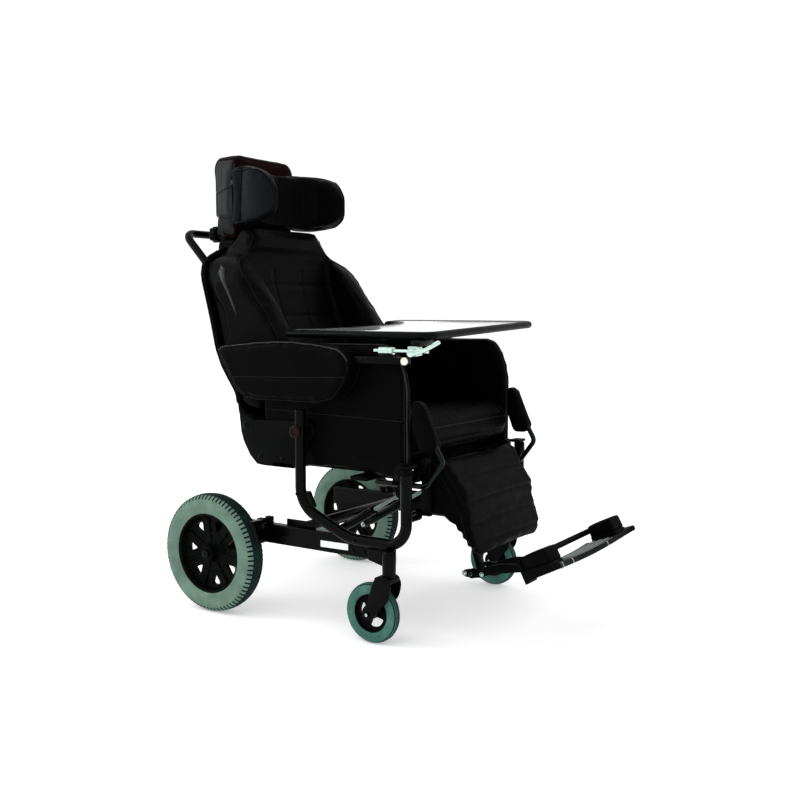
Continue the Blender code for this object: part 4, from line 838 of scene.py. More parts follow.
        xc = s * CAST_X
        leg = spline([(-0.534, 0.1640), (-0.548, 0.1700), (-0.568, 0.1700), (-0.579, 0.1580), (-0.5800, 0.1420),
                      (-0.573, 0.1180), (-0.556, 0.0980), (-0.533, 0.0700), (-0.524, 0.0620), (-0.508, 0.0610),
                      (-0.499, 0.0720), (-0.501, 0.0880), (-0.514, 0.1050), (-0.523, 0.1350)], 4, True)
        shapes = [prism(leg, 'X', xc - 0.0255, xc - 0.0198, 0.0014, 3), prism(leg, 'X', xc + 0.0198, xc + 0.0255, 0.0014, 3)]
        shapes.append(prism(round_poly([(-0.530, 0.1570), (-0.579, 0.1570), (-0.577, 0.1690), (-0.568, 0.1733), (-0.550, 0.1733),
                                        (-0.535, 0.1700)], 0.003), 'X', xc - 0.0240, xc + 0.0240, 0.003, 3))
        shapes.append(spin_profile((xc, SWIVEL_Y, 0.168), (xc, SWIVEL_Y, 0.30), [(0, 0.0150), (0.0052, 0.0150), (0.0058, 0.0120),
                                                                                 (0.0058, 0.0080), (0.0590, 0.0080)], 40))
        hard("caster_yoke_" + n, "caster_fork_" + n, shapes, [M["paint"]])
        c = (CAST_Y, CAST_R)
        shapes = [rod_x(xc - 0.0270, xc + 0.0270, c, 0.0040, 24)]
        for e in (-1, 1):
            shapes.append((bevel_all(spin_profile((xc + e * 0.0254, *c), (xc + e * 0.2, *c), [(0, 0.0078), (0.0040, 0.0078)], 6), 0.0008, 2), 0))
            shapes.append((spin_profile((xc + e * 0.0290, *c), (xc + e * 0.2, *c), [(0, 0.0040), (0.0014, 0.0039), (0.0020, 0.0030),
                                                                                   (0.0020, 0.0)], 24), 1))
        hard("caster_bolt_" + n, "caster_axle_" + n, shapes, [M["dark_bolt"], M["steel"]])

        # Rows marked 1 are the groove floors and walls, in the darker caster rubber: painted shade in the grooves.
        half = [(0.0085, 0.0490, 0), (0.0106, 0.0476, 0), (0.0120, 0.0480, 0), (0.0126, 0.0500, 0), (0.0127, 0.0512, 0),
                (0.0132, 0.0522, 0), (0.0138, 0.0560, 0), (0.0140, 0.0600, 0), (0.0139, 0.0640, 0), (0.0133, 0.0672, 0),
                (0.0127, 0.0690, 0), (0.0121, 0.0704, 1), (0.0114, 0.0694, 1), (0.0098, 0.0698, 1), (0.0092, 0.0724, 0),
                (0.0074, 0.0736, 1), (0.0068, 0.0720, 1), (0.0052, 0.0722, 1), (0.0046, 0.0744, 0), (0.0028, 0.0749, 1),
                (0.0022, 0.0734, 1), (0.0008, 0.0734, 1), (0.0003, 0.0750, 0), (0.0000, 0.0750, 0)]
        rows = mirrored_rows(half)
        tyre = wheel_mesh(xc, CAST_Y, CAST_R, rows, 144)
        hard("caster_tyre_ribbed_" + n, "caster_tyre_" + n, [tyre], [M["caster"], M["caster_painted_shade"]], 28)
        prof = [(-0.0170, 0.0044), (-0.0172, 0.0060), (-0.0172, 0.0115), (-0.0160, 0.0125), (-0.0080, 0.0132), (-0.0048, 0.0148),
                (-0.0040, 0.0180), (-0.0038, 0.0400), (-0.0050, 0.0424), (-0.0085, 0.0440), (-0.0112, 0.0446), (-0.0118, 0.0455),
                (-0.0116, 0.0475), (-0.0090, 0.0480)]
        prof = prof + [(-t, r) for t, r in reversed(prof)]
        disc = spin_profile((xc, CAST_Y, CAST_R), (xc + 1.0, CAST_Y, CAST_R), prof, 84, True)
        tri = [(0.0165, -28.0), (0.0150, 0.0), (0.0165, 28.0), (0.0240, 36.0), (0.0320, 40.0), (0.0352, 36.0), (0.0362, 18.0),
               (0.0364, 0.0), (0.0362, -18.0), (0.0352, -36.0), (0.0320, -40.0), (0.0240, -36.0)]
        cut = joined([window(CAST_Y, CAST_R, tri, math.radians(-118.0 + 120.0 * k), xc - 0.02, xc + 0.02) for k in range(3)])
        disc = carve(disc, cut)
        hard("caster_rim_moulded_" + n, "caster_rim_" + n, [(disc, 0)], [M["rim"]], 32)

        shaft = rod_x(s * 0.2590, s * 0.3450, BRAKE_H, 0.0050, 28)
        pedal = prism(spline([(-0.1320, 0.2520), (-0.1270, 0.2570), (-0.1300, 0.2615), (-0.1460, 0.2625), (-0.1600, 0.2650),
                              (-0.1680, 0.2690), (-0.1715, 0.2660), (-0.1690, 0.2600), (-0.1600, 0.2535), (-0.1460, 0.2500)], 4, True),
                      'X', s * 0.2850, s * 0.2960, 0.0016, 3)
        shoe = prism([(-0.143, 0.2620), (-0.156, 0.2620), (-0.172, 0.222), (-0.172, 0.205), (-0.1665, 0.205),
                      (-0.1605, 0.222)], 'X', s * 0.3060, s * 0.3430, 0.0014, 2)
        ridges = [rod_x(s * 0.2856, s * 0.2954, (-0.1340 - 0.0060 * k, 0.2614 + 0.0004 * k), 0.0010, 10, 0.0003) for k in range(4)]
        hard("brake_lever_" + n, "brake_pedal_" + n, [(shaft, 0), (pedal, 1), (shoe, 0)] + tinted(ridges, 1),
             [M["paint"], M["moulded"]])


# ---------------------------------------------------------------- seat frame and struts
def seat_frame():
    shapes = [box(-0.2775, 0.2775, -0.238, -0.168, 0.4012, 0.4130, 0.001),
              box(-0.2775, 0.2775, -0.580, -0.545, 0.3880, 0.3990, 0.001),
              box(-0.2775, 0.2775, -0.470, -0.420, 0.3890, 0.3990, 0.001)]
    bolts = []
    for s in (-1, 1):
        shapes.append(box(*sorted((s * 0.190, s * 0.215)), -0.578, -0.170, 0.4005, 0.4125, 0.001))
        shapes.append(box(*sorted((s * 0.191, s * 0.214)), -0.577, -0.4210, 0.3900, 0.4060, 0.001))
        shapes.append(prism(round_poly([(-0.2400, 0.4012), (-0.1400, 0.4012), (-0.1150, 0.4030), (-0.0900, 0.4250), (-0.0680, 0.4620),
                                        (-0.0600, 0.4850), (-0.0570, 0.5080), (-0.0600, 0.5230), (-0.0700, 0.5300), (-0.0850, 0.5290),
                                        (-0.1050, 0.5200), (-0.2600, 0.5270), (-0.2700, 0.5320), (-0.2900, 0.5320), (-0.3060, 0.5180),
                                        (-0.3090, 0.5000), (-0.3000, 0.4850)], 0.008), 'X', s * 0.2725, s * 0.2775, 0.001, 2))
        shapes.append(prism([(-0.580, 0.3885), (-0.545, 0.3885), (-0.552, 0.4300), (-0.570, 0.4440), (-0.616, 0.4440),
                             (-0.616, 0.4353), (-0.586, 0.4353)], 'X', s * 0.2725, s * 0.2775, 0.001, 2))
        shapes.append(box(*sorted((s * 0.2740, s * 0.3140)), -0.615, -0.585, 0.4355, 0.4430, 0.0015))
        shapes.append(prism(round_poly([(-0.548, 0.3890), (-0.578, 0.3890), (-0.612, 0.4280), (-0.6135, 0.4400), (-0.608, 0.4510),
                                        (-0.597, 0.4530), (-0.588, 0.4470), (-0.578, 0.4250), (-0.568, 0.4110)], 0.006),
                            'X', s * 0.2180, s * 0.2260, 0.0012, 2))
        shapes.append(rod_x(s * 0.2030, s * 0.2240, LEG_H, 0.0050, 24))
        shapes.append(rod_x(s * 0.2625, s * 0.2760, BACK_H, 0.0060, 24))
        shapes.append(box(*sorted((s * 0.2385, s * 0.2615)), -0.5800, -0.5500, 0.3750, 0.3985, 0.002))
        for c in (-0.010, 0.010):
            shapes.append(prism(round_poly([(-0.425, 0.3950), (-0.465, 0.3950), (-0.457, 0.3260), (-0.453, 0.3180), (-0.445, 0.3140),
                                            (-0.437, 0.3180), (-0.433, 0.3260)], 0.004),
                                'X', s * STRUT_X + c - 0.002, s * STRUT_X + c + 0.002, 0.0005, 1))
        shapes.append(rod_x(s * STRUT_X - 0.0115, s * STRUT_X + 0.0115, STRUT_HI, 0.0040, 24))
        for e in (-1, 1):
            bolts += dome_bolt((s * STRUT_X + e * 0.0118, *STRUT_HI), (s * STRUT_X + e * 0.2, *STRUT_HI), 0.0052, 0.0036, True)
        bolts += dome_bolt((s * 0.2774, *BACK_H), (s * 0.40, *BACK_H), 0.0070, 0.0050, True)
        bolts += dome_bolt((s * 0.2258, *LEG_H), (s * 0.40, *LEG_H), 0.0060, 0.0048, True)
        for y, z in ((-0.125, 0.4230), (-0.200, 0.4230), (-0.562, 0.4080)):
            bolts += dome_bolt((s * 0.2774, y, z), (s * 0.40, y, z), 0.0044, 0.0034)
        for y in (-0.225, -0.180, -0.562, -0.445):
            bolts += dome_bolt((s * 0.2025, y, 0.4008 if y > -0.3 else 0.3895), (s * 0.2025, y, 0.1), 0.0050, 0.0040, True)
    hard("seat_chassis", "seat_frame", tinted(shapes, 0) + tinted(bolts, 1), [M["paint_dull"], M["dark_bolt"]])

    for s in (-1, 1):
        n = side(s)
        x = s * STRUT_X
        p, q = Vector((x, *STRUT_LO)), Vector((x, *STRUT_HI))
        d = (q - p).normalized()
        tube = spin_profile(p, q, [(0.0065, 0.0), (0.0065, 0.0066), (0.0165, 0.0070), (0.0185, 0.0100), (0.0205, 0.0113), (0.0240, 0.0115),
                                   (0.0250, 0.0111), (0.0262, 0.0115), (0.1500, 0.0115), (0.1510, 0.0110), (0.1522, 0.0115),
                                   (0.1610, 0.0114), (0.1640, 0.0104), (0.1650, 0.0088), (0.1650, 0.0054)], 40)
        eye = rod_x(x - 0.0065, x + 0.0065, STRUT_LO, 0.0090, 32, 0.001)
        hard("gas_strut_tube_" + n, "strut_cylinder_" + n, [(tube, 0), (eye, 0)], [M["paint"]])
        length = (q - p).length
        rodm = spin_profile(p + d * 0.050, q, [(0, 0.0), (0, 0.0050), (length - 0.050 - 0.0250, 0.0050), (length - 0.050 - 0.0240, 0.0068),
                                               (length - 0.050 - 0.0105, 0.0068), (length - 0.050 - 0.0085, 0.0)], 32)
        eye = rod_x(x - 0.0055, x + 0.0055, STRUT_HI, 0.0105, 32, 0.001)
        hard("gas_strut_rod_" + n, "strut_piston_" + n, [(rodm, 0), (eye, 1)], [M["rod"], M["paint"]])


# ---------------------------------------------------------------- back fittings, headrest fittings
def back_fittings():
    bar = fillet_path([(-0.2, 0.0790, 0.740), (-0.2, 0.1140, 0.925), (-0.2, 0.2150, 1.029), (0.2, 0.2150, 1.029),
                       (0.2, 0.1140, 0.925), (0.2, 0.0790, 0.740)], [0.045, 0.035, 0.035, 0.045], 5)
    shapes = [(sweep(bar, 0.0110, 32), 0)]
    for s in (-1, 1):
        for z, y in ((0.760, 0.0480), (0.872, 0.0790)):
            yb = 0.0790 + (z - 0.740) * 0.189
            shapes.append((prism(round_poly([(s * 0.2 - 0.017, z - 0.010), (s * 0.2 + 0.017, z - 0.010), (s * 0.2 + 0.017, z + 0.010),
                                             (s * 0.2 - 0.017, z + 0.010)], 0.004), 'Y', y, yb + 0.003, 0.0015, 2), 1))
            shapes.append((prism(round_poly([(s * 0.2 - 0.027, z - 0.013), (s * 0.2 + 0.027, z - 0.013), (s * 0.2 + 0.027, z + 0.013),
                                             (s * 0.2 - 0.027, z + 0.013)], 0.006), 'Y', y - 0.002, y + 0.0040, 0.0010, 2), 1))
            for e in (-1, 1):
                shapes += tinted(dome_bolt((s * 0.2 + e * 0.0215, y + 0.0038, z), (s * 0.2 + e * 0.0215, y + 1, z), 0.0034, 0.0036), 2)
        shapes.append((spin_profile((s * 0.2, 0.0790, 0.740), (s * 0.2, 0.0601, 0.640), [(-0.002, 0.0), (-0.002, 0.0113), (0.003, 0.0122),
                                    (0.009, 0.0118), (0.011, 0.0080), (0.011, 0.0)], 32), 1))
    grip0, grip1 = Vector((-0.075, 0.2150, 1.029)), Vector((0.150, 0.2150, 1.029))
    hard("push_handle", "push_bar", shapes, [M["paint"], M["moulded"], M["steel"]])

    shapes = []
    for s in (-1, 1):
        shapes.append((box(*sorted((s * 0.095, s * 0.125)), 0.1290, 0.1410, 0.9300, 1.1150, 0.0010, 2), 0))
        shapes.append((box(*sorted((s * 0.0945, s * 0.1255)), 0.1150, 0.1550, 0.9300, 1.0040, 0.0035, 3), 1))
        for z in (0.945, 0.985):
            shapes += tinted(dome_bolt((s * 0.110, 0.1548, z), (s * 0.110, 1.0, z), 0.0046, 0.0040), 2)
        shapes += tinted(dome_bolt((s * 0.1254, 0.1350, 0.9900), (s * 1.0, 0.1350, 0.9900), 0.0036, 0.0030), 2)
    shapes.append((box(-0.135, 0.135, 0.1125, 0.1400, 0.9350, 0.9800, 0.0020, 3), 0))
    shapes.append((box(-0.1365, 0.1365, 0.0880, 0.1460, 0.9790, 0.9950, 0.0030, 3), 1))
    shapes.append((box(-0.1340, 0.1340, 0.0900, 0.1440, 0.9940, 1.0085, 0.0030, 3), 1))
    for x in (-0.060, 0.060):
        shapes += tinted(dome_bolt((x, 0.1398, 0.9575), (x, 1.0, 0.9575), 0.0046, 0.0040), 2)
    hard("headrest_posts", "head_post", shapes, [M["paint"], M["moulded"], M["steel"]])

    star = []
    for k in range(72):
        t = 2 * math.pi * k / 72
        r = 0.0215 + 0.0020 * math.cos(8 * t)
        star.append((r * math.cos(t) - 0.110, r * math.sin(t) + 1.029))
    knob = prism(star, 'Y', 0.1650, 0.1880, 0.0022, 3)
    face = spin_profile((-0.110, 0.1870, 1.029), (-0.110, 1.0, 1.029), [(0, 0.0150), (0.0016, 0.0145), (0.0016, 0.0120), (0.0006, 0.0115),
                                                                        (0.0006, 0.0)], 40)
    stem = rod((-0.110, 0.1418, 1.029), (-0.110, 0.170, 1.029), 0.0040, 20)
    neck = rod((-0.110, 0.1600, 1.029), (-0.110, 0.1660, 1.029), 0.0100, 28)
    hard("star_knob", "height_knob", [(knob, 0), (face, 0), (stem, 1), (neck, 0)], [M["moulded"], M["steel"]])


# ---------------------------------------------------------------- tray
def tray_outline(o, n=40):
    w, f, r = TRAY_HALF - o, -0.660 + o, -0.205 - o
    pts = round_poly([(-w, r), (-w, f), (w, f), (w, r)], [0.0, 0.034 - o, 0.034 - o, 0.0], 9)
    half, deep = 0.196 + o, 0.112 + o
    pts = [(-w + 0.012, r + 0.0), (-w, r - 0.014)] + pts[1:-1] + [(w, r - 0.014), (w - 0.012, r)]
    cut = []
    for k in range(n + 1):
        t = math.pi * k / n
        cut.append((half * math.cos(t), r - deep * math.sin(t) ** 0.9))
    return pts + [(half + 0.028, r)] + cut + [(-half - 0.028, r)]


def tray():
    x0, z0 = -TRAY_ROD[0], TRAY_ROD[1]
    bar = box(-0.3125, -0.2935, -0.6105, -0.4588, 0.6840, 0.7000, 0.0018, 3)
    lug = box(-0.3065, -0.2935, -0.565, -0.527, 0.6980, 0.7080, 0.0012, 2)
    barrel = spin_profile((x0, -0.566, z0), (x0, -0.526, z0), [(0, 0.0050), (0, 0.0086), (0.001, 0.0095), (0.0085, 0.0095), (0.0095, 0.0086),
                                                                (0.0125, 0.0086), (0.0135, 0.0095), (0.039, 0.0095), (0.040, 0.0086),
                                                                (0.040, 0.0050)], 36, True)
    cap = spin_profile((-0.3120, -0.605, 0.692), (-0.5, -0.605, 0.692), [(0, 0.0085), (0.0006, 0.0092), (0.0040, 0.0092), (0.0056, 0.0080),
                                                                       (0.0062, 0.0050), (0.0056, 0.0030), (0.0056, 0.0)], 40)
    shapes = [(bar, 1), (lug, 1), (barrel, 0), (cap, 2)]
    shapes += tinted(dome_bolt((-0.3123, -0.480, 0.692), (-0.5, -0.480, 0.692), 0.0042, 0.0036), 3)
    hard("tray_mount", "tray_socket", shapes, [M["chrome"], M["paint"], M["cap"], M["dark_bolt"]])
    rail = spin_profile((x0, -0.662, z0), (x0, -0.510, z0), [(0, 0.0), (0, 0.0036), (0.001, 0.0046), (0.151, 0.0046), (0.152, 0.0036),
                                                             (0.152, 0.0)], 32)
    hard("tray_rod", "tray_rail", [rail], [M["chrome"]])

    at = (x0, 0.0, z0)
    clamp = turned(prism(round_poly([(-0.640, 0.7040), (-0.612, 0.7040), (-0.612, 0.7275), (-0.640, 0.7275)], 0.004),
                         'X', -0.3110, -0.2890, 0.0016, 3), -TRAY_TILT, at, 'Y')
    arm = turned(box(-0.3000, -0.2350, -0.638, -0.614, 0.7262, 0.7397, 0.0012, 2), -TRAY_TILT, at, 'Y')
    shapes = [(clamp, 0), (arm, 1)]
    for x in (-0.250, -0.278):
        shapes += [(turned(b, -TRAY_TILT, at, 'Y'), 1) for b in dome_bolt((x, -0.626, 0.7264), (x, -0.626, 0.5), 0.0036, 0.0032)]
    hard("tray_clamp_block", "tray_clamp", shapes, [M["chrome"], M["dark_bolt"]])

    board = turned(prism(tray_outline(0.0115), 'Z', 0.7425, 0.7585, 0.0008, 2), -TRAY_TILT, at, 'Y')
    hard("tray_panel", "tray_board", [board], [M["white"]])

    outer, inner = tray_outline(0.0), tray_outline(0.0120)
    m = len(outer)
    bm = bmesh.new()
    sect = []
    for k in range(-6, 7):
        t = math.radians(15 * k)
        sect.append(((1 - math.cos(t)) * 0.00975 / 0.0120, 0.74985 + 0.00975 * math.sin(t)))
    sect += [(0.93, 0.7592), (1.0, 0.7576), (1.0, 0.7408)]
    rings = []
    for i in range(m):
        a, b = outer[i], inner[i]
        row = []
        for f, z in sect:
            row.append(bm.verts.new((a[0] + (b[0] - a[0]) * f, a[1] + (b[1] - a[1]) * f, z)))
        rings.append(row)
    for i in range(m):
        a, b = rings[i], rings[(i + 1) % m]
        for k in range(len(sect)):
            j = (k + 1) % len(sect)
            bm.faces.new((a[k], a[j], b[j], b[k]))
    finish_bm(bm)
    hard("tray_edging", "tray_rim", [turned(bm, -TRAY_TILT, at, 'Y')], [M["edge"]], 40)

    hub = spin_profile((-0.3114, -0.626, 0.712), (-0.5, -0.626, 0.712), [(0, 0.0095), (0.0008, 0.0105), (0.0082, 0.0105), (0.0104, 0.0090),
                                                                       (0.0111, 0.0060), (0.0111, 0.0)], 40)
    grip = prism(spline([(-0.630, 0.7060), (-0.6265, 0.7120), (-0.628, 0.7180), (-0.645, 0.7205), (-0.662, 0.7240), (-0.682, 0.7330),
                         (-0.698, 0.7420), (-0.7045, 0.7385), (-0.7020, 0.7330), (-0.684, 0.7235), (-0.665, 0.7150), (-0.645, 0.7090)],
                        4, True), 'X', -0.3145, -0.3200, 0.0014, 3)
    hard("cam_lever", "tray_lever", [hub, grip], [M["chrome"]])


# ---------------------------------------------------------------- legrest metalwork and foot box
def strip(s0, s1, t):
    dy, dz = SLEEVE_D
    ny, nz = -dz, dy
    return [(SLEEVE_0[0] + dy * q + ny * w, SLEEVE_0[1] + dz * q + nz * w) for q, w in ((s0, -t), (s1, -t), (s1, t), (s0, t))]


def dished(w, u0, u1, v0, v1, rise, ears, n=48, u_over=None):
    """Dished slab of the foot plate with rounded long edges."""
    bm = bmesh.new()
    rows = []
    for k in range(n + 1):
        x = w * (2.0 * k / n - 1.0)
        q = abs(x) / 0.236
        lo, hi = 0.007 * q * q, rise * q * q
        u = u1 + ears * q ** 6
        h = v1 - v0
        pts = [(u0, v0 + lo + 0.15 * h), (u0 + 0.0015, v0 + lo), (u - 0.0030, v0 + lo), (u - 0.0006, v0 + lo + 0.18 * h),
               (u, v0 + lo + 0.5 * h), (u - 0.0006, v1 + lo - 0.18 * h), (u - 0.0030, v1 + lo), (u0 + 0.002, v1 + hi), (u0, v1 + hi - 0.001)]
        rows.append([bm.verts.new((x, *foot(a, b))) for a, b in pts])
    m = len(rows[0])
    for a, b in zip(rows, rows[1:]):
        for k in range(m):
            j = (k + 1) % m
            bm.faces.new((a[k], b[k], b[j], a[j]))
    bm.faces.new(rows[0])
    bm.faces.new(rows[-1])
    return finish_bm(bm)


def legrest():
    shapes = [(box(-0.2140, 0.2140, -0.5900, -0.5740, 0.3060, 0.3240, 0.0012), 0)]
    for s in (-1, 1):
        shapes.append((prism(round_poly([(-0.5905, 0.4480), (-0.6000, 0.4530), (-0.6100, 0.4490), (-0.6140, 0.4400), (-0.6180, 0.3060),
                                         (-0.5740, 0.3060), (-0.5740, 0.3240), (-0.5905, 0.3440)], 0.004), 'X', s * 0.2050, s * 0.2140, 0.0012, 2), 0))
    for a, b, t0, t1 in ((-0.0180, -0.0126, 0, 0), (0.0126, 0.0180, 0, 0)):
        shapes.append((prism(strip(-0.056, 0.072, 0.0105), 'X', a, b, 0.0008), 0))
    dy, dz = SLEEVE_D
    ny, nz = -dz, dy
    for w0, w1 in ((-0.0105, -0.0066), (0.0066, 0.0105)):
        wall = [(SLEEVE_0[0] + dy * q + ny * w, SLEEVE_0[1] + dz * q + nz * w) for q, w in ((-0.056, w0), (0.072, w0), (0.072, w1), (-0.056, w1))]
        shapes.append((prism(wall, 'X', -0.0178, 0.0178, 0.0006), 0))
    at = (SLEEVE_0[0] + dy * 0.058 - ny * 0.0105, SLEEVE_0[1] + dz * 0.058 - nz * 0.0105)
    at2 = (at[0] - ny, at[1] - nz)
    shapes += tinted(dome_bolt((0.0, *at), (0.0, *at2), 0.0050, 0.0050), 1)
    hard("legrest_chassis", "legrest_frame", shapes, [M["paint_dull"], M["steel"]])

    shapes = [(prism(strip(0.006, 0.1406, 0.0060), 'X', -0.0120, 0.0120, 0.0012, 2), 0),
              (rod_x(-0.0590, 0.0590, FOOT_H, 0.0050, 28), 1), (rod_x(-0.0125, 0.0125, FOOT_H, 0.0085, 32, 0.001), 0)]
    for e in (-1, 1):
        shapes += tinted(dome_bolt((e * 0.0576, *FOOT_H), (e * 1.0, *FOOT_H), 0.0046, 0.0042), 2)
    hard("foot_stem", "foot_hanger", shapes, [M["paint_dull"], M["chrome"], M["dark_bolt"]])

    shapes = [(dished(0.2350, 0.0, 0.0900, 0.0, 0.0135, 0.018, 0.015), 0)]
    wall = []
    top = lambda x: 0.0015 + 0.018 * (abs(x) / 0.236) ** 2
    for s in (-1, 1):
        wall.append(prism([foot(-0.001, 0.001), foot(0.008, 0.001), foot(0.008, 0.0580), foot(-0.001, 0.0580)], 'X', s * 0.1880, s * 0.2345, 0.0012, 2))
    wall.append(prism([foot(-0.001, 0.0430), foot(0.008, 0.0430), foot(0.008, 0.0580), foot(-0.001, 0.0580)], 'X', -0.2344, 0.2344, 0.0012, 2))
    shapes += tinted(wall, 0)
    for s in (-1, 1):
        shapes.append((prism([foot(0.0086, 0.0160), foot(0.0780, 0.0150), foot(0.0784, 0.0262), foot(0.0086, 0.0338)],
                             'X', s * 0.1640, s * 0.2325, 0.0008, 1), 0))
    for x in (-0.2120, -0.1430, 0.0720):
        lip = 0.007 * (x / 0.236) ** 2
        u = 0.0900 + 0.015 * (abs(x) / 0.236) ** 6
        shapes.append((prism([foot(u - 0.0020, lip - 0.0003), foot(u + 0.0005, lip + 0.0010), foot(u + 0.0005, lip + 0.0125), foot(u - 0.0020, lip + 0.0139)],
                             'X', x - 0.0016, x + 0.0016, 0.0003, 1), 2))
    for s in (-1, 1):
        line = round_poly([(-0.6215, 0.1385), (-0.6130, 0.1330), (-0.6130, 0.1260), (-0.6215, 0.1205), (-0.6430, 0.1190),
                           (-0.6680, 0.1235), (-0.7000, 0.1370), (-0.7600, 0.1500), (-0.8200, 0.1620), (-0.8850, 0.1790),
                           (-0.8950, 0.1870), (-0.8890, 0.1920), (-0.8800, 0.1890), (-0.8600, 0.1840), (-0.8200, 0.1770), (-0.7600, 0.1720),
                           (-0.7200, 0.1660), (-0.6900, 0.1560), (-0.6650, 0.1430), (-0.6430, 0.1430)], 0.004, 12)
        shapes.append((prism(line, 'X', s * 0.0390, s * 0.0510, 0.0016, 2), 0))
        shapes.append((rod_x(s * 0.0370, s * 0.0530, FOOT_H, 0.0125, 40, 0.0012), 0))
        for c, r in (((-0.6720, 0.1330), 0.0046), ((-0.6215, 0.1295), 0.0052)):
            shapes += tinted(dome_bolt((s * 0.0506, *c), (s * 1.0, *c), r, 0.0050), 1)
        shapes += tinted(dome_bolt((s * 0.045, *foot(0.006, -0.002)), (s * 0.045, *foot(0.006, -1.0)), 0.0040, 0.0030), 1)
    hard("foot_platform", "footplate", shapes, [M["moulded"], M["chrome"], M["joint"]])

    # ribbed grey tread mat on the plate's top, in four lengths with thin joints
    shapes = []
    ribs = 4
    for x0, x1 in ((-0.1180, -0.0605), (-0.0595, -0.0005), (0.0005, 0.0595), (0.0605, 0.1180)):
        bm = bmesh.new()
        cols = 14
        rows = []
        for k in range(cols + 1):
            x = x0 + (x1 - x0) * k / cols
            q = abs(x) / 0.236
            row = []
            u0, u1 = 0.0092, 0.0872 + 0.015 * q ** 6
            steps = [(j + f) / ribs for j in range(ribs) for f in (0.0, 0.05, 0.56, 0.62)] + [1.0]
            for n, t in enumerate(steps):
                u = u0 + (u1 - u0) * t
                f = min(max((u - 0.002) / (0.087 - 0.002), 0.0), 1.0)
                base = 0.0135 + (0.018 * (1 - f) + 0.007 * f) * q * q + 0.0085 * (1 - f)
                wave = (0.0, 0.0011, 0.0011, 0.0)[n % 4]
                row.append(bm.verts.new((x, *foot(u, base + 0.0004 + wave))))
            for u, v in ((u1, 0.0120), (u0, 0.0120)):
                row.append(bm.verts.new((x, *foot(u, v))))
            rows.append(row)
        m = len(rows[0])
        for a, b in zip(rows, rows[1:]):
            for j in range(m):
                f = bm.faces.new((a[j], a[(j + 1) % m], b[(j + 1) % m], b[j]))
                # groove floors and their down slopes take the dark groove material: painted shade in the grooves
                f.material_index = 1 if j % 4 in (2, 3) and j < m - 3 else 0
        bm.faces.new(rows[0])
        bm.faces.new(rows[-1])
        shapes.append(finish_bm(bm))
    hard("foot_tread", "footplate", shapes, [M["tread_pad"], M["groove"]], 40, stands=False)


# ---------------------------------------------------------------- soft goods
JOBS = []


def coords(me):
    co = np.empty(len(me.vertices) * 3)
    me.vertices.foreach_get("co", co)
    return co.reshape(-1, 3)


def normals(me):
    no = np.empty(len(me.vertices) * 3)
    me.vertex_normals.foreach_get("vector", no)
    return no.reshape(-1, 3)


def store(me, co):
    me.vertices.foreach_set("co", np.asarray(co, dtype=np.float64).ravel())
    me.update()


def through(me, kind, **sets):
    """The mesh after one modifier."""
    ob = bpy.data.objects.new("tmp", me)
    COL.objects.link(ob)
    mod = ob.modifiers.new("m", kind)
    for k, v in sets.items():
        setattr(mod, k, v)
    bpy.context.view_layer.update()
    out = bpy.data.meshes.new_from_object(ob.evaluated_get(bpy.context.evaluated_depsgraph_get()))
    bpy.data.objects.remove(ob, do_unlink=True)
    return out


def soft(node, name, voxel, inset=0.002, relax=6, pressure=4.0, cap=0.008, proud=0.0015):
    """Starts a stuffed piece from its CAD solid: remesh, round off, pull in, hand to the cloth solver."""
    src = frame["nodes"][node].data
    bm = bmesh.new()
    bm.from_mesh(src)
    bmesh.ops.remove_doubles(bm, verts=bm.verts[:], dist=1e-5)
    bmesh.ops.recalc_face_normals(bm, faces=bm.faces[:])
    me = bpy.data.meshes.new("tmp")
    bm.to_mesh(me)
    tree = BVHTree.FromBMesh(bm)
    bm.free()
    me = through(me, 'REMESH', mode='VOXEL', voxel_size=voxel)
    if relax:
        me = through(me, 'SMOOTH', factor=0.5, iterations=relax)
    if inset:
        store(me, coords(me) - normals(me) * inset)
    start = coords(me)
    ob = bpy.data.objects.new(name, me)
    COL.objects.link(ob)
    if pressure > 0:
        mod = ob.modifiers.new("cloth", 'CLOTH')
        c = mod.settings
        c.quality = 4
        c.mass = 0.3
        c.tension_stiffness = 12.0
        c.compression_stiffness = 12.0
        c.shear_stiffness = 6.0
        c.bending_stiffness = 0.6
        c.use_pressure = True
        c.uniform_pressure_force = pressure
        c.effector_weights.gravity = 0.0
        mod.collision_settings.use_collision = False
        mod.collision_settings.use_self_collision = False
    job = {"ob": ob, "node": node, "tree": tree, "start": start, "cap": cap, "proud": proud, "name": name}
    JOBS.append(job)
    return job


def inflate():
    """Runs every waiting cloth at once and fixes the results, within each piece's limits."""
    sc = bpy.context.scene
    for f in range(1, 21):
        sc.frame_set(f)
    deps = bpy.context.evaluated_depsgraph_get()
    for job in JOBS:
        ob = job["ob"]
        me = bpy.data.meshes.new_from_object(ob.evaluated_get(deps))
        bpy.data.objects.remove(ob, do_unlink=True)
        end = coords(me)
        move = end - job["start"]
        length = np.linalg.norm(move, axis=1)
        scale = np.where(length > job["cap"], job["cap"] / np.maximum(length, 1e-9), 1.0)
        co = job["start"] + move * scale[:, None]
        tree, proud = job["tree"], job["proud"]
        for i in range(len(co)):
            p = Vector(co[i])
            at, nrm, idx, dist = tree.find_nearest(p)
            if at is not None and (p - at).dot(nrm) > proud:
                co[i] = at + (p - at).normalized() * proud
        store(me, co)
        me = through(me, 'SMOOTH', factor=0.4, iterations=2)
        me = through(me, 'SUBSURF', levels=1, render_levels=1)
        job["me"] = me
        del job["tree"]
    bpy.context.scene.frame_set(1)
    JOBS.clear()


def shaped(job, fn):
    """Moves each point along its normal by fn(x, y, z), which works on arrays in the CAD frame."""
    me = job["me"]
    co, no = coords(me), normals(me)
    d = fn(co[:, 0], co[:, 1] - S, co[:, 2], no)
    store(me, co + no * d[:, None])


def groove(d, width, depth):
    return -depth * np.exp(-(d / width) ** 2)


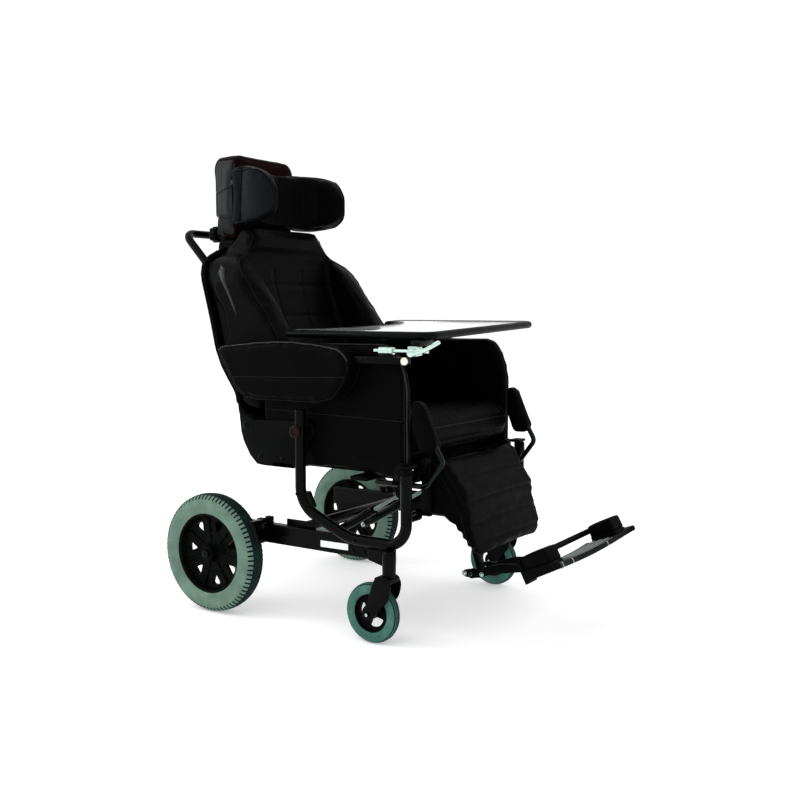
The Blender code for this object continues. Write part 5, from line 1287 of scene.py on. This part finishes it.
def dress(job, mats, stands=True, pick=None):
    me = job["me"]
    me.materials.clear()
    if pick is not None:
        fi = np.empty(len(me.polygons) * 3)
        me.polygons.foreach_get("center", fi)
        fi = fi.reshape(-1, 3)
        fn = np.empty(len(me.polygons) * 3)
        me.polygons.foreach_get("normal", fn)
        ids = pick(fi[:, 0], fi[:, 1] - S, fi[:, 2], fn.reshape(-1, 3)).astype(np.int32)
        me.polygons.foreach_set("material_index", ids)
    me.name = job["name"]
    node = job["node"]
    ob = put(job["name"], me, mats, BODY[node], (node,) if stands else (), 80)
    job["ob"] = ob
    bm = bmesh.new()
    bm.from_mesh(me)
    job["skin"] = BVHTree.FromBMesh(bm)
    bm.free()
    return ob


def mirror(ob, name, node, fill):
    """The left-hand twin of a right-hand piece."""
    me = ob.data.copy()
    co = coords(me)
    co[:, 0] *= -1
    store(me, co)
    me.flip_normals()
    twin = bpy.data.objects.new(name, me)
    COL.objects.link(twin)
    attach(twin, BODY[node])
    if fill is not None:
        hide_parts(node)
    return twin


def welt(name, job, path, r=0.0019, closed=False, sink=0.15, mat="welt", step=0.004, shift=True, near=0.02):
    """A sewn-in cord laid on the skin of a soft piece."""
    pts = [Vector((p[0], p[1] + (S if shift else 0.0), p[2])) for p in path]
    pts = even(pts, step, closed)
    out = []
    for p in pts:
        at, nrm, idx, dist = job["skin"].find_nearest(p)
        out.append(at + nrm * (r * (1.0 - 2.0 * sink)) if at is not None and dist < near else p)
    for _ in range(2):
        sm = [q.copy() for q in out]
        for i in range(len(out)):
            if closed or 0 < i < len(out) - 1:
                sm[i] = out[i - 1] * 0.25 + out[i] * 0.5 + out[(i + 1) % len(out)] * 0.25
        out = sm
    bm = sweep(out, r, 10, closed)
    me = bpy.data.meshes.new(name)
    bm.to_mesh(me)
    bm.free()
    return put(name, me, M[mat], BODY[job["node"]], (), 60)


def stitches(name, job, path, pitch=0.0055, length=0.0036, r=0.00055, closed=False, shift=True, near=0.02):
    """A row of separate thread stitches on the skin of a soft piece."""
    pts = [Vector((p[0], p[1] + (S if shift else 0.0), p[2])) for p in path]
    pts = even(pts, pitch, closed)
    bm = bmesh.new()
    n = len(pts)
    for i in range(n if closed else n - 1):
        a, b = pts[i], pts[(i + 1) % n]
        d = (b - a)
        if d.length < 1e-6:
            continue
        d.normalize()
        mid = (a + b) / 2
        at, nrm, idx, dist = job["skin"].find_nearest(mid)
        if at is None or dist > near:
            continue
        d = (d - nrm * d.dot(nrm)).normalized()
        w = nrm.cross(d)
        rings = []
        for t, h in ((-0.5, -0.6), (-0.3, 0.55), (0.0, 0.8), (0.3, 0.55), (0.5, -0.6)):
            c = at + d * (t * length) + nrm * (h * r)
            rings.append([bm.verts.new(c + (w * math.cos(2 * math.pi * k / 5) + nrm * math.sin(2 * math.pi * k / 5)) * r) for k in range(5)])
        for u, v in zip(rings, rings[1:]):
            for k in range(5):
                j = (k + 1) % 5
                bm.faces.new((u[k], u[j], v[j], v[k]))
    finish_bm(bm)
    me = bpy.data.meshes.new(name)
    bm.to_mesh(me)
    bm.free()
    return put(name, me, M["stitch"], BODY[job["node"]], (), 60)


def soft_goods():
    j = {}
    j["wings"] = soft("headrest_cushion", "headrest_wings", 0.0045, 0.0012, 6, 4.0, 0.006, 0.0018)
    j["head"] = soft("head_pad", "headrest_pad", 0.0045, 0.0006, 4, 1.6, 0.004, 0.0015)
    j["back"] = soft("back_cushion", "back_bolster", 0.0060, 0.0020, 6, 4.0, 0.010, 0.0030)
    j["board"] = soft("back_shell", "back_board", 0.0048, 0.0, 2, 0.0, 0.004, 0.0005)
    j["shell"] = soft("seat_shell", "seat_shell_cover", 0.0060, 0.0015, 3, 3.0, 0.006, 0.0015)
    j["seat"] = soft("seat_cushion", "seat_cushion_cover", 0.0060, 0.0020, 4, 4.0, 0.010, 0.0015)
    j["arm"] = soft("armrest_R", "armrest_pad_R", 0.0045, 0.0015, 4, 4.0, 0.006, 0.0012)
    j["calf"] = soft("calf_pad", "calf_cushion", 0.0048, 0.0012, 4, 2.6, 0.006, 0.0018)
    j["knee"] = soft("knee_pad_R", "knee_cushion_R", 0.0026, 0.0006, 3, 3.0, 0.003, 0.0010)
    j["block"] = soft("foot_block_R", "foot_foam_R", 0.0030, 0.0004, 2, 2.0, 0.003, 0.0008)
    inflate()

    # headrest wings: outer vertical seams, top and bottom joins
    def wings(x, y, z, no):
        d = groove(y - 0.0135 + 0.06 * (z - 1.12), 0.0022, 0.0016)
        d = d * (np.abs(x) > 0.150)
        d += groove(np.abs(x) - 0.118, 0.0030, 0.0018) * (y < 0.05) * (np.abs(z - 1.12) < 0.075) * (no[:, 1] < -0.2)
        return d
    shaped(j["wings"], wings)
    dress(j["wings"], [M["hide_head"], M["hide"]],
          pick=lambda x, y, z, n: np.where((n[:, 0] * np.sign(x) > 0.25) & (y < 0.0135 - 0.06 * (z - 1.12)), 0, 1))
    edge = []
    for y, z in ((0.0600, 1.1970), (0.0171, 1.1945), (-0.0373, 1.1880), (-0.0640, 1.1760), (-0.0843, 1.1500), (-0.0950, 1.1180),
                 (-0.0900, 1.0930), (-0.0730, 1.0740), (-0.0450, 1.0600), (0.0000, 1.0530), (0.0500, 1.0490)):
        edge.append((y, z))
    for s in (-1, 1):
        line = [(s * (0.163 + 0.017 * math.sin(min(1.0, max(0.0, (y + 0.09) / 0.12)) * math.pi * 0.5)), y, z) for y, z in edge]
        welt("headrest_welt_" + side(s), j["wings"], spline(line, 5), 0.0017, False, 0.25, near=0.05)
        seam = [(s * 0.185, 0.0135 - 0.06 * (z - 1.12), z) for z in (1.060, 1.085, 1.115, 1.145, 1.175, 1.195)]
        stitches("headrest_seam_" + side(s), j["wings"], [(p[0], p[1] - 0.0045, p[2]) for p in seam], near=0.03)

    # headrest pad: the padded part stops above a narrower neck
    def head(x, y, z, no):
        low = 1.0 / (1.0 + np.exp((z - 1.0755) / 0.0022))
        sidew = np.clip((np.abs(x) - 0.112) / 0.02, 0, 1)
        d = -0.0085 * low * np.abs(no[:, 0]) * sidew
        d += -0.0040 * low * np.clip(-no[:, 1], 0, 1) * 0.5
        d += groove(z - 1.0765, 0.0018, 0.0016) + groove(z - 1.0730, 0.0016, 0.0010)
        d += groove(y - 0.1360, 0.0016, 0.0010) * (z > 1.08)
        return d
    shaped(j["head"], head)
    dress(j["head"], [M["hide_pad"], M["hide_red"], M["hide_neck"], M["hide"]],
          pick=lambda x, y, z, n: np.where(np.abs(x) < 0.1260, np.where(y > 0.1380, 3, 1),
                                           np.where(z < 1.0750, 2, 0)))
    strap = fillet_path([(-0.1400, 0.1500, 1.1440), (-0.1405, 0.0960, 1.1640), (-0.1480, 0.0624, 1.1750)], [0.03], 4)
    bm = bmesh.new()
    rows = []
    for p in even(strap, 0.004):
        at, nrm, idx, dist = j["head"]["skin"].find_nearest(Vector((p[0], p[1] + S, p[2])))
        off = at.x - 0.0012 if dist < 0.012 else p[0]
        rows.append([bm.verts.new((off + a, p[1], p[2] + b)) for a, b in ((0.0, -0.0060), (-0.0012, -0.0056), (-0.0016, 0.0), (-0.0012, 0.0056),
                                                                          (0.0, 0.0060), (0.0008, 0.0))])
    for a, b in zip(rows, rows[1:]):
        for k in range(6):
            bm.faces.new((a[k], a[(k + 1) % 6], b[(k + 1) % 6], b[k]))
    bm.faces.new(rows[0])
    bm.faces.new(rows[-1])
    finish_bm(bm)
    twin = bm.copy()
    for v in twin.verts:
        v.co.x *= -1
    finish_bm(twin)
    hard("headrest_strap_R", "head_pad", [bm], [M["hide_pad"]], 50, stands=False)
    hard("headrest_strap_L", "head_pad", [twin], [M["hide_pad"]], 50, stands=False)
    ring = round_poly([(-0.1345, 1.0800), (0.1345, 1.0800), (0.1345, 1.2485), (-0.1345, 1.2485)], [0.004, 0.004, 0.040, 0.040], 8)
    for y, t in ((0.0905, "front"), (0.1560, "rear")):
        welt("headpad_welt_" + t, j["head"], [(p[0], y, p[1]) for p in ring], 0.0016, True, 0.3, near=0.03)
    band = [(-0.139, 0.1497, 1.1444), (-0.139, 0.1230, 1.1530), (-0.139, 0.0960, 1.1643)]
    stitches("headpad_stitch", j["head"], [(p[0], 0.1280, p[1]) for p in ring], closed=True, near=0.03)

    # back bolster
    def bolster(x, y, z, no):
        d = groove(np.abs(x) - 0.1905, 0.0050, 0.0030) * (no[:, 1] < 0.3) * (z > 0.56)
        for zz in (0.700, 0.800, 0.895):
            d += groove(z - zz + 0.25 * (y + 0.05), 0.0075, 0.0035) * (np.abs(x) < 0.186) * np.clip(-no[:, 1] * 1.4, 0, 1)
        d += groove(np.abs(x) - 0.062, 0.0060, 0.0022) * (np.abs(x) < 0.17) * np.clip(-no[:, 1], 0, 1) * (z < 0.93)
        return d
    shaped(j["back"], bolster)
    co = coords(j["back"]["me"])
    lift = np.clip((co[:, 2] - 0.955) / 0.05, 0.0, 1.0)
    co[:, 2] += 0.0085 * lift * lift * (3 - 2 * lift)
    store(j["back"]["me"], co)
    dress(j["back"], [M["hide_side"]])
    # A raised roll down each side of the back bolster, dressed in the lighter leatherette: a painted highlight along
    # the roll, wide at the shoulder and tapering down.
    for s in (-1, 1):
        ridge = [(s * 0.262, y, z) for y, z in ((0.0330, 0.9470), (0.0175, 0.9122), (-0.0130, 0.8582), (-0.0389, 0.8046), (-0.0420, 0.7980))]
        pts = even([(q[0], q[1], q[2]) for q in spline(ridge, 6)], 0.005)
        out, radii = [], []
        for k, q in enumerate(pts):
            at, nrm, idx, dist = j["back"]["skin"].find_nearest(Vector((q[0], q[1] + S, q[2])))
            t = k / (len(pts) - 1)
            r = (0.0085 + 0.0085 * math.exp(-((t - 0.16) / 0.22) ** 2) - 0.0040 * t) * min(1.0, 0.15 + 6 * t, 0.15 + 5 * (1 - t))
            out.append(at - nrm * r * 0.74)
            radii.append(r)
        for _ in range(3):
            out = [out[0]] + [a * 0.25 + b * 0.5 + c * 0.25 for a, b, c in zip(out, out[1:], out[2:])] + [out[-1]]
        me = bpy.data.meshes.new("bolster_ridge_painted_highlight_" + side(s))
        bm = sweep(out, radii, 16)
        bm.to_mesh(me)
        bm.free()
        put("bolster_ridge_painted_highlight_" + side(s), me, M["hide_roll"], BODY["back_cushion"], (), 70)
    fore = [(-0.1860, 0.6200), (-0.1860, 0.7200), (-0.1670, 0.7630), (-0.1290, 0.8240), (-0.0815, 0.8850), (-0.0460, 0.9330),
            (-0.0180, 0.9620), (-0.0080, 0.9900)]
    for s in (-1, 1):
        line = [(s * min(0.262, 0.268 if z < 0.895 else 0.262), y, z) for y, z in fore[:6]]
        line += [(s * 0.232, -0.0250, 0.9560), (s * 0.200, -0.0120, 0.9760), (s * 0.172, -0.0080, 0.9980), (s * 0.154, -0.0040, 1.0200)]
        welt("bolster_welt_" + side(s), j["back"], spline(line, 5), 0.0019, False, 0.2, near=0.06)

    # rear board of the back: covered panel with a perimeter seam and a zip line
    def board(x, y, z, no):
        rear = np.clip(no[:, 1] * 1.5, 0, 1)
        d = groove(np.abs(x) - 0.235, 0.0030, 0.0014) * rear
        d += groove(z - 0.690, 0.0030, 0.0014) * rear * (np.abs(x) < 0.235)
        return d
    shaped(j["board"], board)
    me = j["board"]["me"]
    dress(j["board"], [M["hide_side"]])
    for s in (-1, 1):
        line = [(s * 0.2300, y, z) for y, z in ((-0.0290, 0.5890), (0.0180, 0.6560), (0.0390, 0.7030), (0.0570, 0.7810),
                                                (0.0725, 0.8380), (0.0870, 0.8900), (0.0930, 0.9200))]
        stitches("back_panel_stitch_" + side(s), j["board"], spline(line, 6), near=0.03)
        line = [(s * 0.2690, y, z) for y, z in ((-0.0355, 0.5600), (-0.0290, 0.5890), (0.0180, 0.6560), (0.0390, 0.7030), (0.0570, 0.7810),
                                                (0.0725, 0.8380), (0.0870, 0.8900))]
        line += [(s * 0.255, 0.0950, 0.9380), (s * 0.225, 0.0975, 0.9630), (s * 0.195, 0.0975, 0.9770)]
        welt("back_panel_welt_" + side(s), j["board"], spline(line, 6), 0.0018, False, 0.2, near=0.05)

    # seat shell: padded side and rear walls
    def shell(x, y, z, no):
        out = np.clip(np.abs(no[:, 0]) * 1.5 - 0.5, 0, 1) * (np.abs(x) > 0.25)
        d = groove(z - 0.5450 - 0.02 * (y + 0.3), 0.0026, 0.0018) * out
        d += groove(y + 0.3600 + 0.06 * (z - 0.5), 0.0026, 0.0016) * out * (z < 0.545)
        d += groove(y + 0.5720, 0.0024, 0.0016) * out
        return d
    shaped(j["shell"], shell)
    dress(j["shell"], [M["hide"]])
    for s in (-1, 1):
        line = [(s * 0.2680, y, z) for y, z in ((-0.2000, 0.7330), (-0.3500, 0.7335), (-0.5180, 0.7335), (-0.5460, 0.7230), (-0.5670, 0.6930),
                                                (-0.5820, 0.6550), (-0.5890, 0.6150), (-0.5890, 0.5200), (-0.5890, 0.4200))]
        # The front-edge welt uses the lighter piping: a painted highlight down the shell's front edge.
        welt("shell_welt_" + side(s), j["shell"], spline(line, 6), 0.0019, False, 0.2, mat="welt_painted_highlight", near=0.03)
        stitches("shell_stitch_" + side(s), j["shell"], [(s * 0.272, -0.5765, z) for z in (0.42, 0.50, 0.58, 0.66)], near=0.03)
        line = [(s * 0.2700, y, 0.5490 + 0.02 * (y + 0.3)) for y in (-0.570, -0.45, -0.30, -0.15, -0.115)]
        stitches("shell_mid_stitch_" + side(s), j["shell"], line, near=0.03)

    # seat cushion: centre well, cross channels, rounded knee roll
    def seat(x, y, z, no):
        up = np.clip(no[:, 2] * 1.5, 0, 1)
        d = -0.0060 * np.exp(-((x / 0.15) ** 2) - ((y + 0.30) / 0.13) ** 2) * up
        for yy in (-0.430, -0.330, -0.230):
            d += groove(y - yy, 0.0060, 0.0040) * up * (np.abs(x) < 0.215)
        d += groove(np.abs(x) - 0.2150, 0.0050, 0.0030) * up
        d += groove(z - 0.4800, 0.0030, 0.0020) * np.clip(-no[:, 1], 0, 1) * (y < -0.55)
        return d
    shaped(j["seat"], seat)
    dress(j["seat"], [M["hide"]])
    welt("seat_front_welt", j["seat"], [(x, -0.6040, 0.5200) for x in (-0.225, -0.12, 0.0, 0.12, 0.225)], 0.0018, False, 0.25, near=0.04)

    # armrests: closed pads with a sewn edge each side
    outline = [(-0.0200, 0.7080), (-0.0340, 0.6780), (-0.0600, 0.6350), (-0.0850, 0.6000), (-0.1100, 0.5830), (-0.1500, 0.5750),
               (-0.3600, 0.5750), (-0.4100, 0.5900), (-0.4400, 0.6250), (-0.4570, 0.6650), (-0.4570, 0.6900), (-0.4440, 0.7080),
               (-0.4200, 0.7220), (-0.3600, 0.7330), (-0.2800, 0.7390), (-0.2200, 0.7390), (-0.1500, 0.7350), (-0.0800, 0.7270), (-0.0400, 0.7200)]

    def arm(x, y, z, no):
        top = np.clip(no[:, 2] * 1.4, 0, 1)
        d = groove(z - 0.6380 + 0.03 * (y + 0.25), 0.0030, 0.0016) * np.clip(-no[:, 0] * 1.5, 0, 1) * (y < -0.07)
        d += 0.0004 * np.sin(y * 210 + 6 * np.sin(x * 60)) * top
        return d
    shaped(j["arm"], arm)
    a = dress(j["arm"], [M["hide"]])
    mirror(a, "armrest_pad_L", "armrest_L", 0.8)
    ring = [(p[0] * 0.975 - 0.006, 0.657 + (p[1] - 0.657) * 0.965) for p in outline]
    w = welt("armrest_welt_outer_R", j["arm"], [(-0.3305, y, z) for y, z in ring[:11]], 0.0018, False, 0.2, near=0.03)
    mirror(w, "armrest_welt_outer_L", "armrest_L", None)
    # The top welt is the lighter piping and the others are the dark one: a painted highlight along the armrest's top
    # edge.
    w = welt("armrest_welt_top_R", j["arm"], [(-0.3305, y, z) for y, z in ring[10:] + ring[:1]], 0.0020, False, 0.2, mat="welt_painted_highlight", near=0.03)
    mirror(w, "armrest_welt_top_L", "armrest_L", None)
    w = welt("armrest_welt_inner_R", j["arm"], [(-0.2735, y, z) for y, z in ring], 0.0018, True, 0.2, near=0.03)
    mirror(w, "armrest_welt_inner_L", "armrest_L", None)
    w = stitches("armrest_stitch_R", j["arm"], [(-0.333, y, 0.6430 - 0.03 * (y + 0.25)) for y in (-0.445, -0.30, -0.15, -0.085)], near=0.03)
    mirror(w, "armrest_stitch_L", "armrest_L", None)

    # calf cushion: cross channels on the front, scalloped underside
    def calf(x, y, z, no):
        front = np.clip(-no[:, 1] * 1.6, 0, 1) * (np.abs(x) < 0.186)
        d = np.zeros_like(x)
        for zz in (0.395, 0.340, 0.285, 0.235):
            d += groove(z - zz - 0.004 * np.cos(x * 9), 0.0048, 0.0046) * front
        d += groove(np.abs(x) - 0.1860, 0.0030, 0.0018) * np.clip(-no[:, 1] * 1.6, 0, 1)
        rear = np.clip(no[:, 1] * 1.4 - no[:, 2] * 0.6, 0, 1) * (z < 0.33)
        d += 0.0022 * np.cos(z * 2 * math.pi / 0.0185) * rear
        return d
    shaped(j["calf"], calf)
    dress(j["calf"], [M["hide"]])
    for s in (-1, 1):
        line = [(s * 0.2000, y, z) for y, z in ((-0.6120, 0.4420), (-0.6287, 0.4200), (-0.6587, 0.3749), (-0.6856, 0.3285), (-0.6990, 0.2900),
                                                (-0.7080, 0.2500))]
        welt("calf_welt_" + side(s), j["calf"], spline(line, 6), 0.0016, False, 0.2, near=0.03)

    def knee(x, y, z, no):
        return groove(x + 0.2500, 0.0012, 0.0006) * np.clip(-no[:, 1], 0, 1)
    shaped(j["knee"], knee)
    a = dress(j["knee"], [M["hide"]])
    mirror(a, "knee_cushion_L", "knee_pad_L", 0.8)
    knee_line = [(-0.5960, 0.5940), (-0.6030, 0.5960), (-0.6205, 0.5840), (-0.6600, 0.4930), (-0.6570, 0.4800), (-0.6460, 0.4710),
                 (-0.6220, 0.4700), (-0.6120, 0.4770), (-0.5915, 0.5300)]
    w = welt("knee_welt_R", j["knee"], [(-0.2350, y, z) for y, z in knee_line], 0.0012, True, 0.3, near=0.02)
    mirror(w, "knee_welt_L", "knee_pad_L", None)
    a = dress(j["block"], [M["foam"]])
    mirror(a, "foot_foam_L", "foot_block_L", 1.0)

    for s in (-1, 1):
        n = side(s)
        line = [(s * 0.250, -0.482, 0.3860), (s * 0.250, -0.6280, 0.3860), (s * 0.250, -0.6740, 0.4480), (s * 0.250, -0.6240, 0.5350)]
        path = fillet_path(line, [0.030, 0.018], 6)
        hard("knee_arm_" + n, "knee_bar_" + n, [sweep(path, 0.0068, 28)], [M["paint_gloss"]])


# ---------------------------------------------------------------- stage
def stage():
    bm = bmesh.new()
    bmesh.ops.create_grid(bm, x_segments=2, y_segments=2, size=14.0)
    me = bpy.data.meshes.new("studio_floor")
    bm.to_mesh(me)
    bm.free()
    k = Maker("floor_pale")
    k.colour((0.900, 0.900, 0.900), (0.925, 0.925, 0.925), 1.5, 3.0)
    k.gloss(0.55, 0.7, 8.0)
    k.set(Specular_IOR_Level=0.15, Emission_Strength=0.30)
    k.b.inputs["Emission Color"].default_value = (1.0, 1.0, 1.0, 1.0)
    me.materials.append(k.m)
    floor = bpy.data.objects.new("studio_floor", me)
    COL.objects.link(floor)

    world = bpy.data.worlds.new("studio")
    world.use_nodes = True
    sky = world.node_tree.nodes["Background"]
    sky.inputs["Color"].default_value = (1.0, 1.0, 1.0, 1.0)
    sky.inputs["Strength"].default_value = 1.04
    bpy.context.scene.world = world

    def lamp(name, kind, at, to, power, size=(1.0, 1.0), spread=50.0):
        li = bpy.data.lights.new(name, kind)
        if kind == 'AREA':
            li.shape = 'RECTANGLE'
            li.size, li.size_y = size
        else:
            li.angle = math.radians(spread)
        li.energy = power
        o = bpy.data.objects.new(name, li)
        COL.objects.link(o)
        o.location = at
        o.rotation_euler = (Vector(to) - Vector(at)).to_track_quat('-Z', 'Y').to_euler()
        return o
    lamp("sky_key", 'SUN', (-2.6, 1.9, 3.4), (0.0, 0.0, 0.3), 0.5, spread=70.0)
    lamp("left_strip", 'AREA', (-1.7, 2.3, 1.7), (0.0, 0.2, 0.95), 14.0, (0.5, 1.4))

    cam = bpy.data.cameras.new("camera")
    cam.lens = 45.35
    cam.sensor_width = 36.0
    cam.clip_start, cam.clip_end = 0.05, 60.0
    co = bpy.data.objects.new("camera", cam)
    COL.objects.link(co)
    r, f, u = Vector((0.547, -0.837, 0.0)), Vector((0.8337, 0.5448, -0.0910)), Vector((0.0762, 0.0498, 0.996))
    c = Vector((-2.2947, -1.8875 + S, 0.8168))
    f.normalize()
    u = (u - f * u.dot(f)).normalized()
    r = f.cross(u)
    co.matrix_world = Matrix(((r.x, u.x, -f.x, c.x), (r.y, u.y, -f.y, c.y), (r.z, u.z, -f.z, c.z), (0, 0, 0, 1)))
    bpy.context.scene.camera = co
    bpy.context.scene.view_settings.view_transform = 'Standard'


chassis()
wheels()
seat_frame()
back_fittings()
tray()
legrest()
soft_goods()
stage()

# every CAD node that is still shown gets a finished material too
for name, ob in frame["nodes"].items():
    if not ob.hide_render:
        pick = {"leatherette": "hide", "tyre_rubber": "tyre", "tray_white": "white", "clamp_chrome": "chrome"}.get(SLOT[name], "paint")
        if not ob.data.materials:
            ob.data.materials.append(None)
        for sl in ob.material_slots:
            sl.link = 'OBJECT'
            sl.material = M[pick]

bpy.context.view_layer.update()
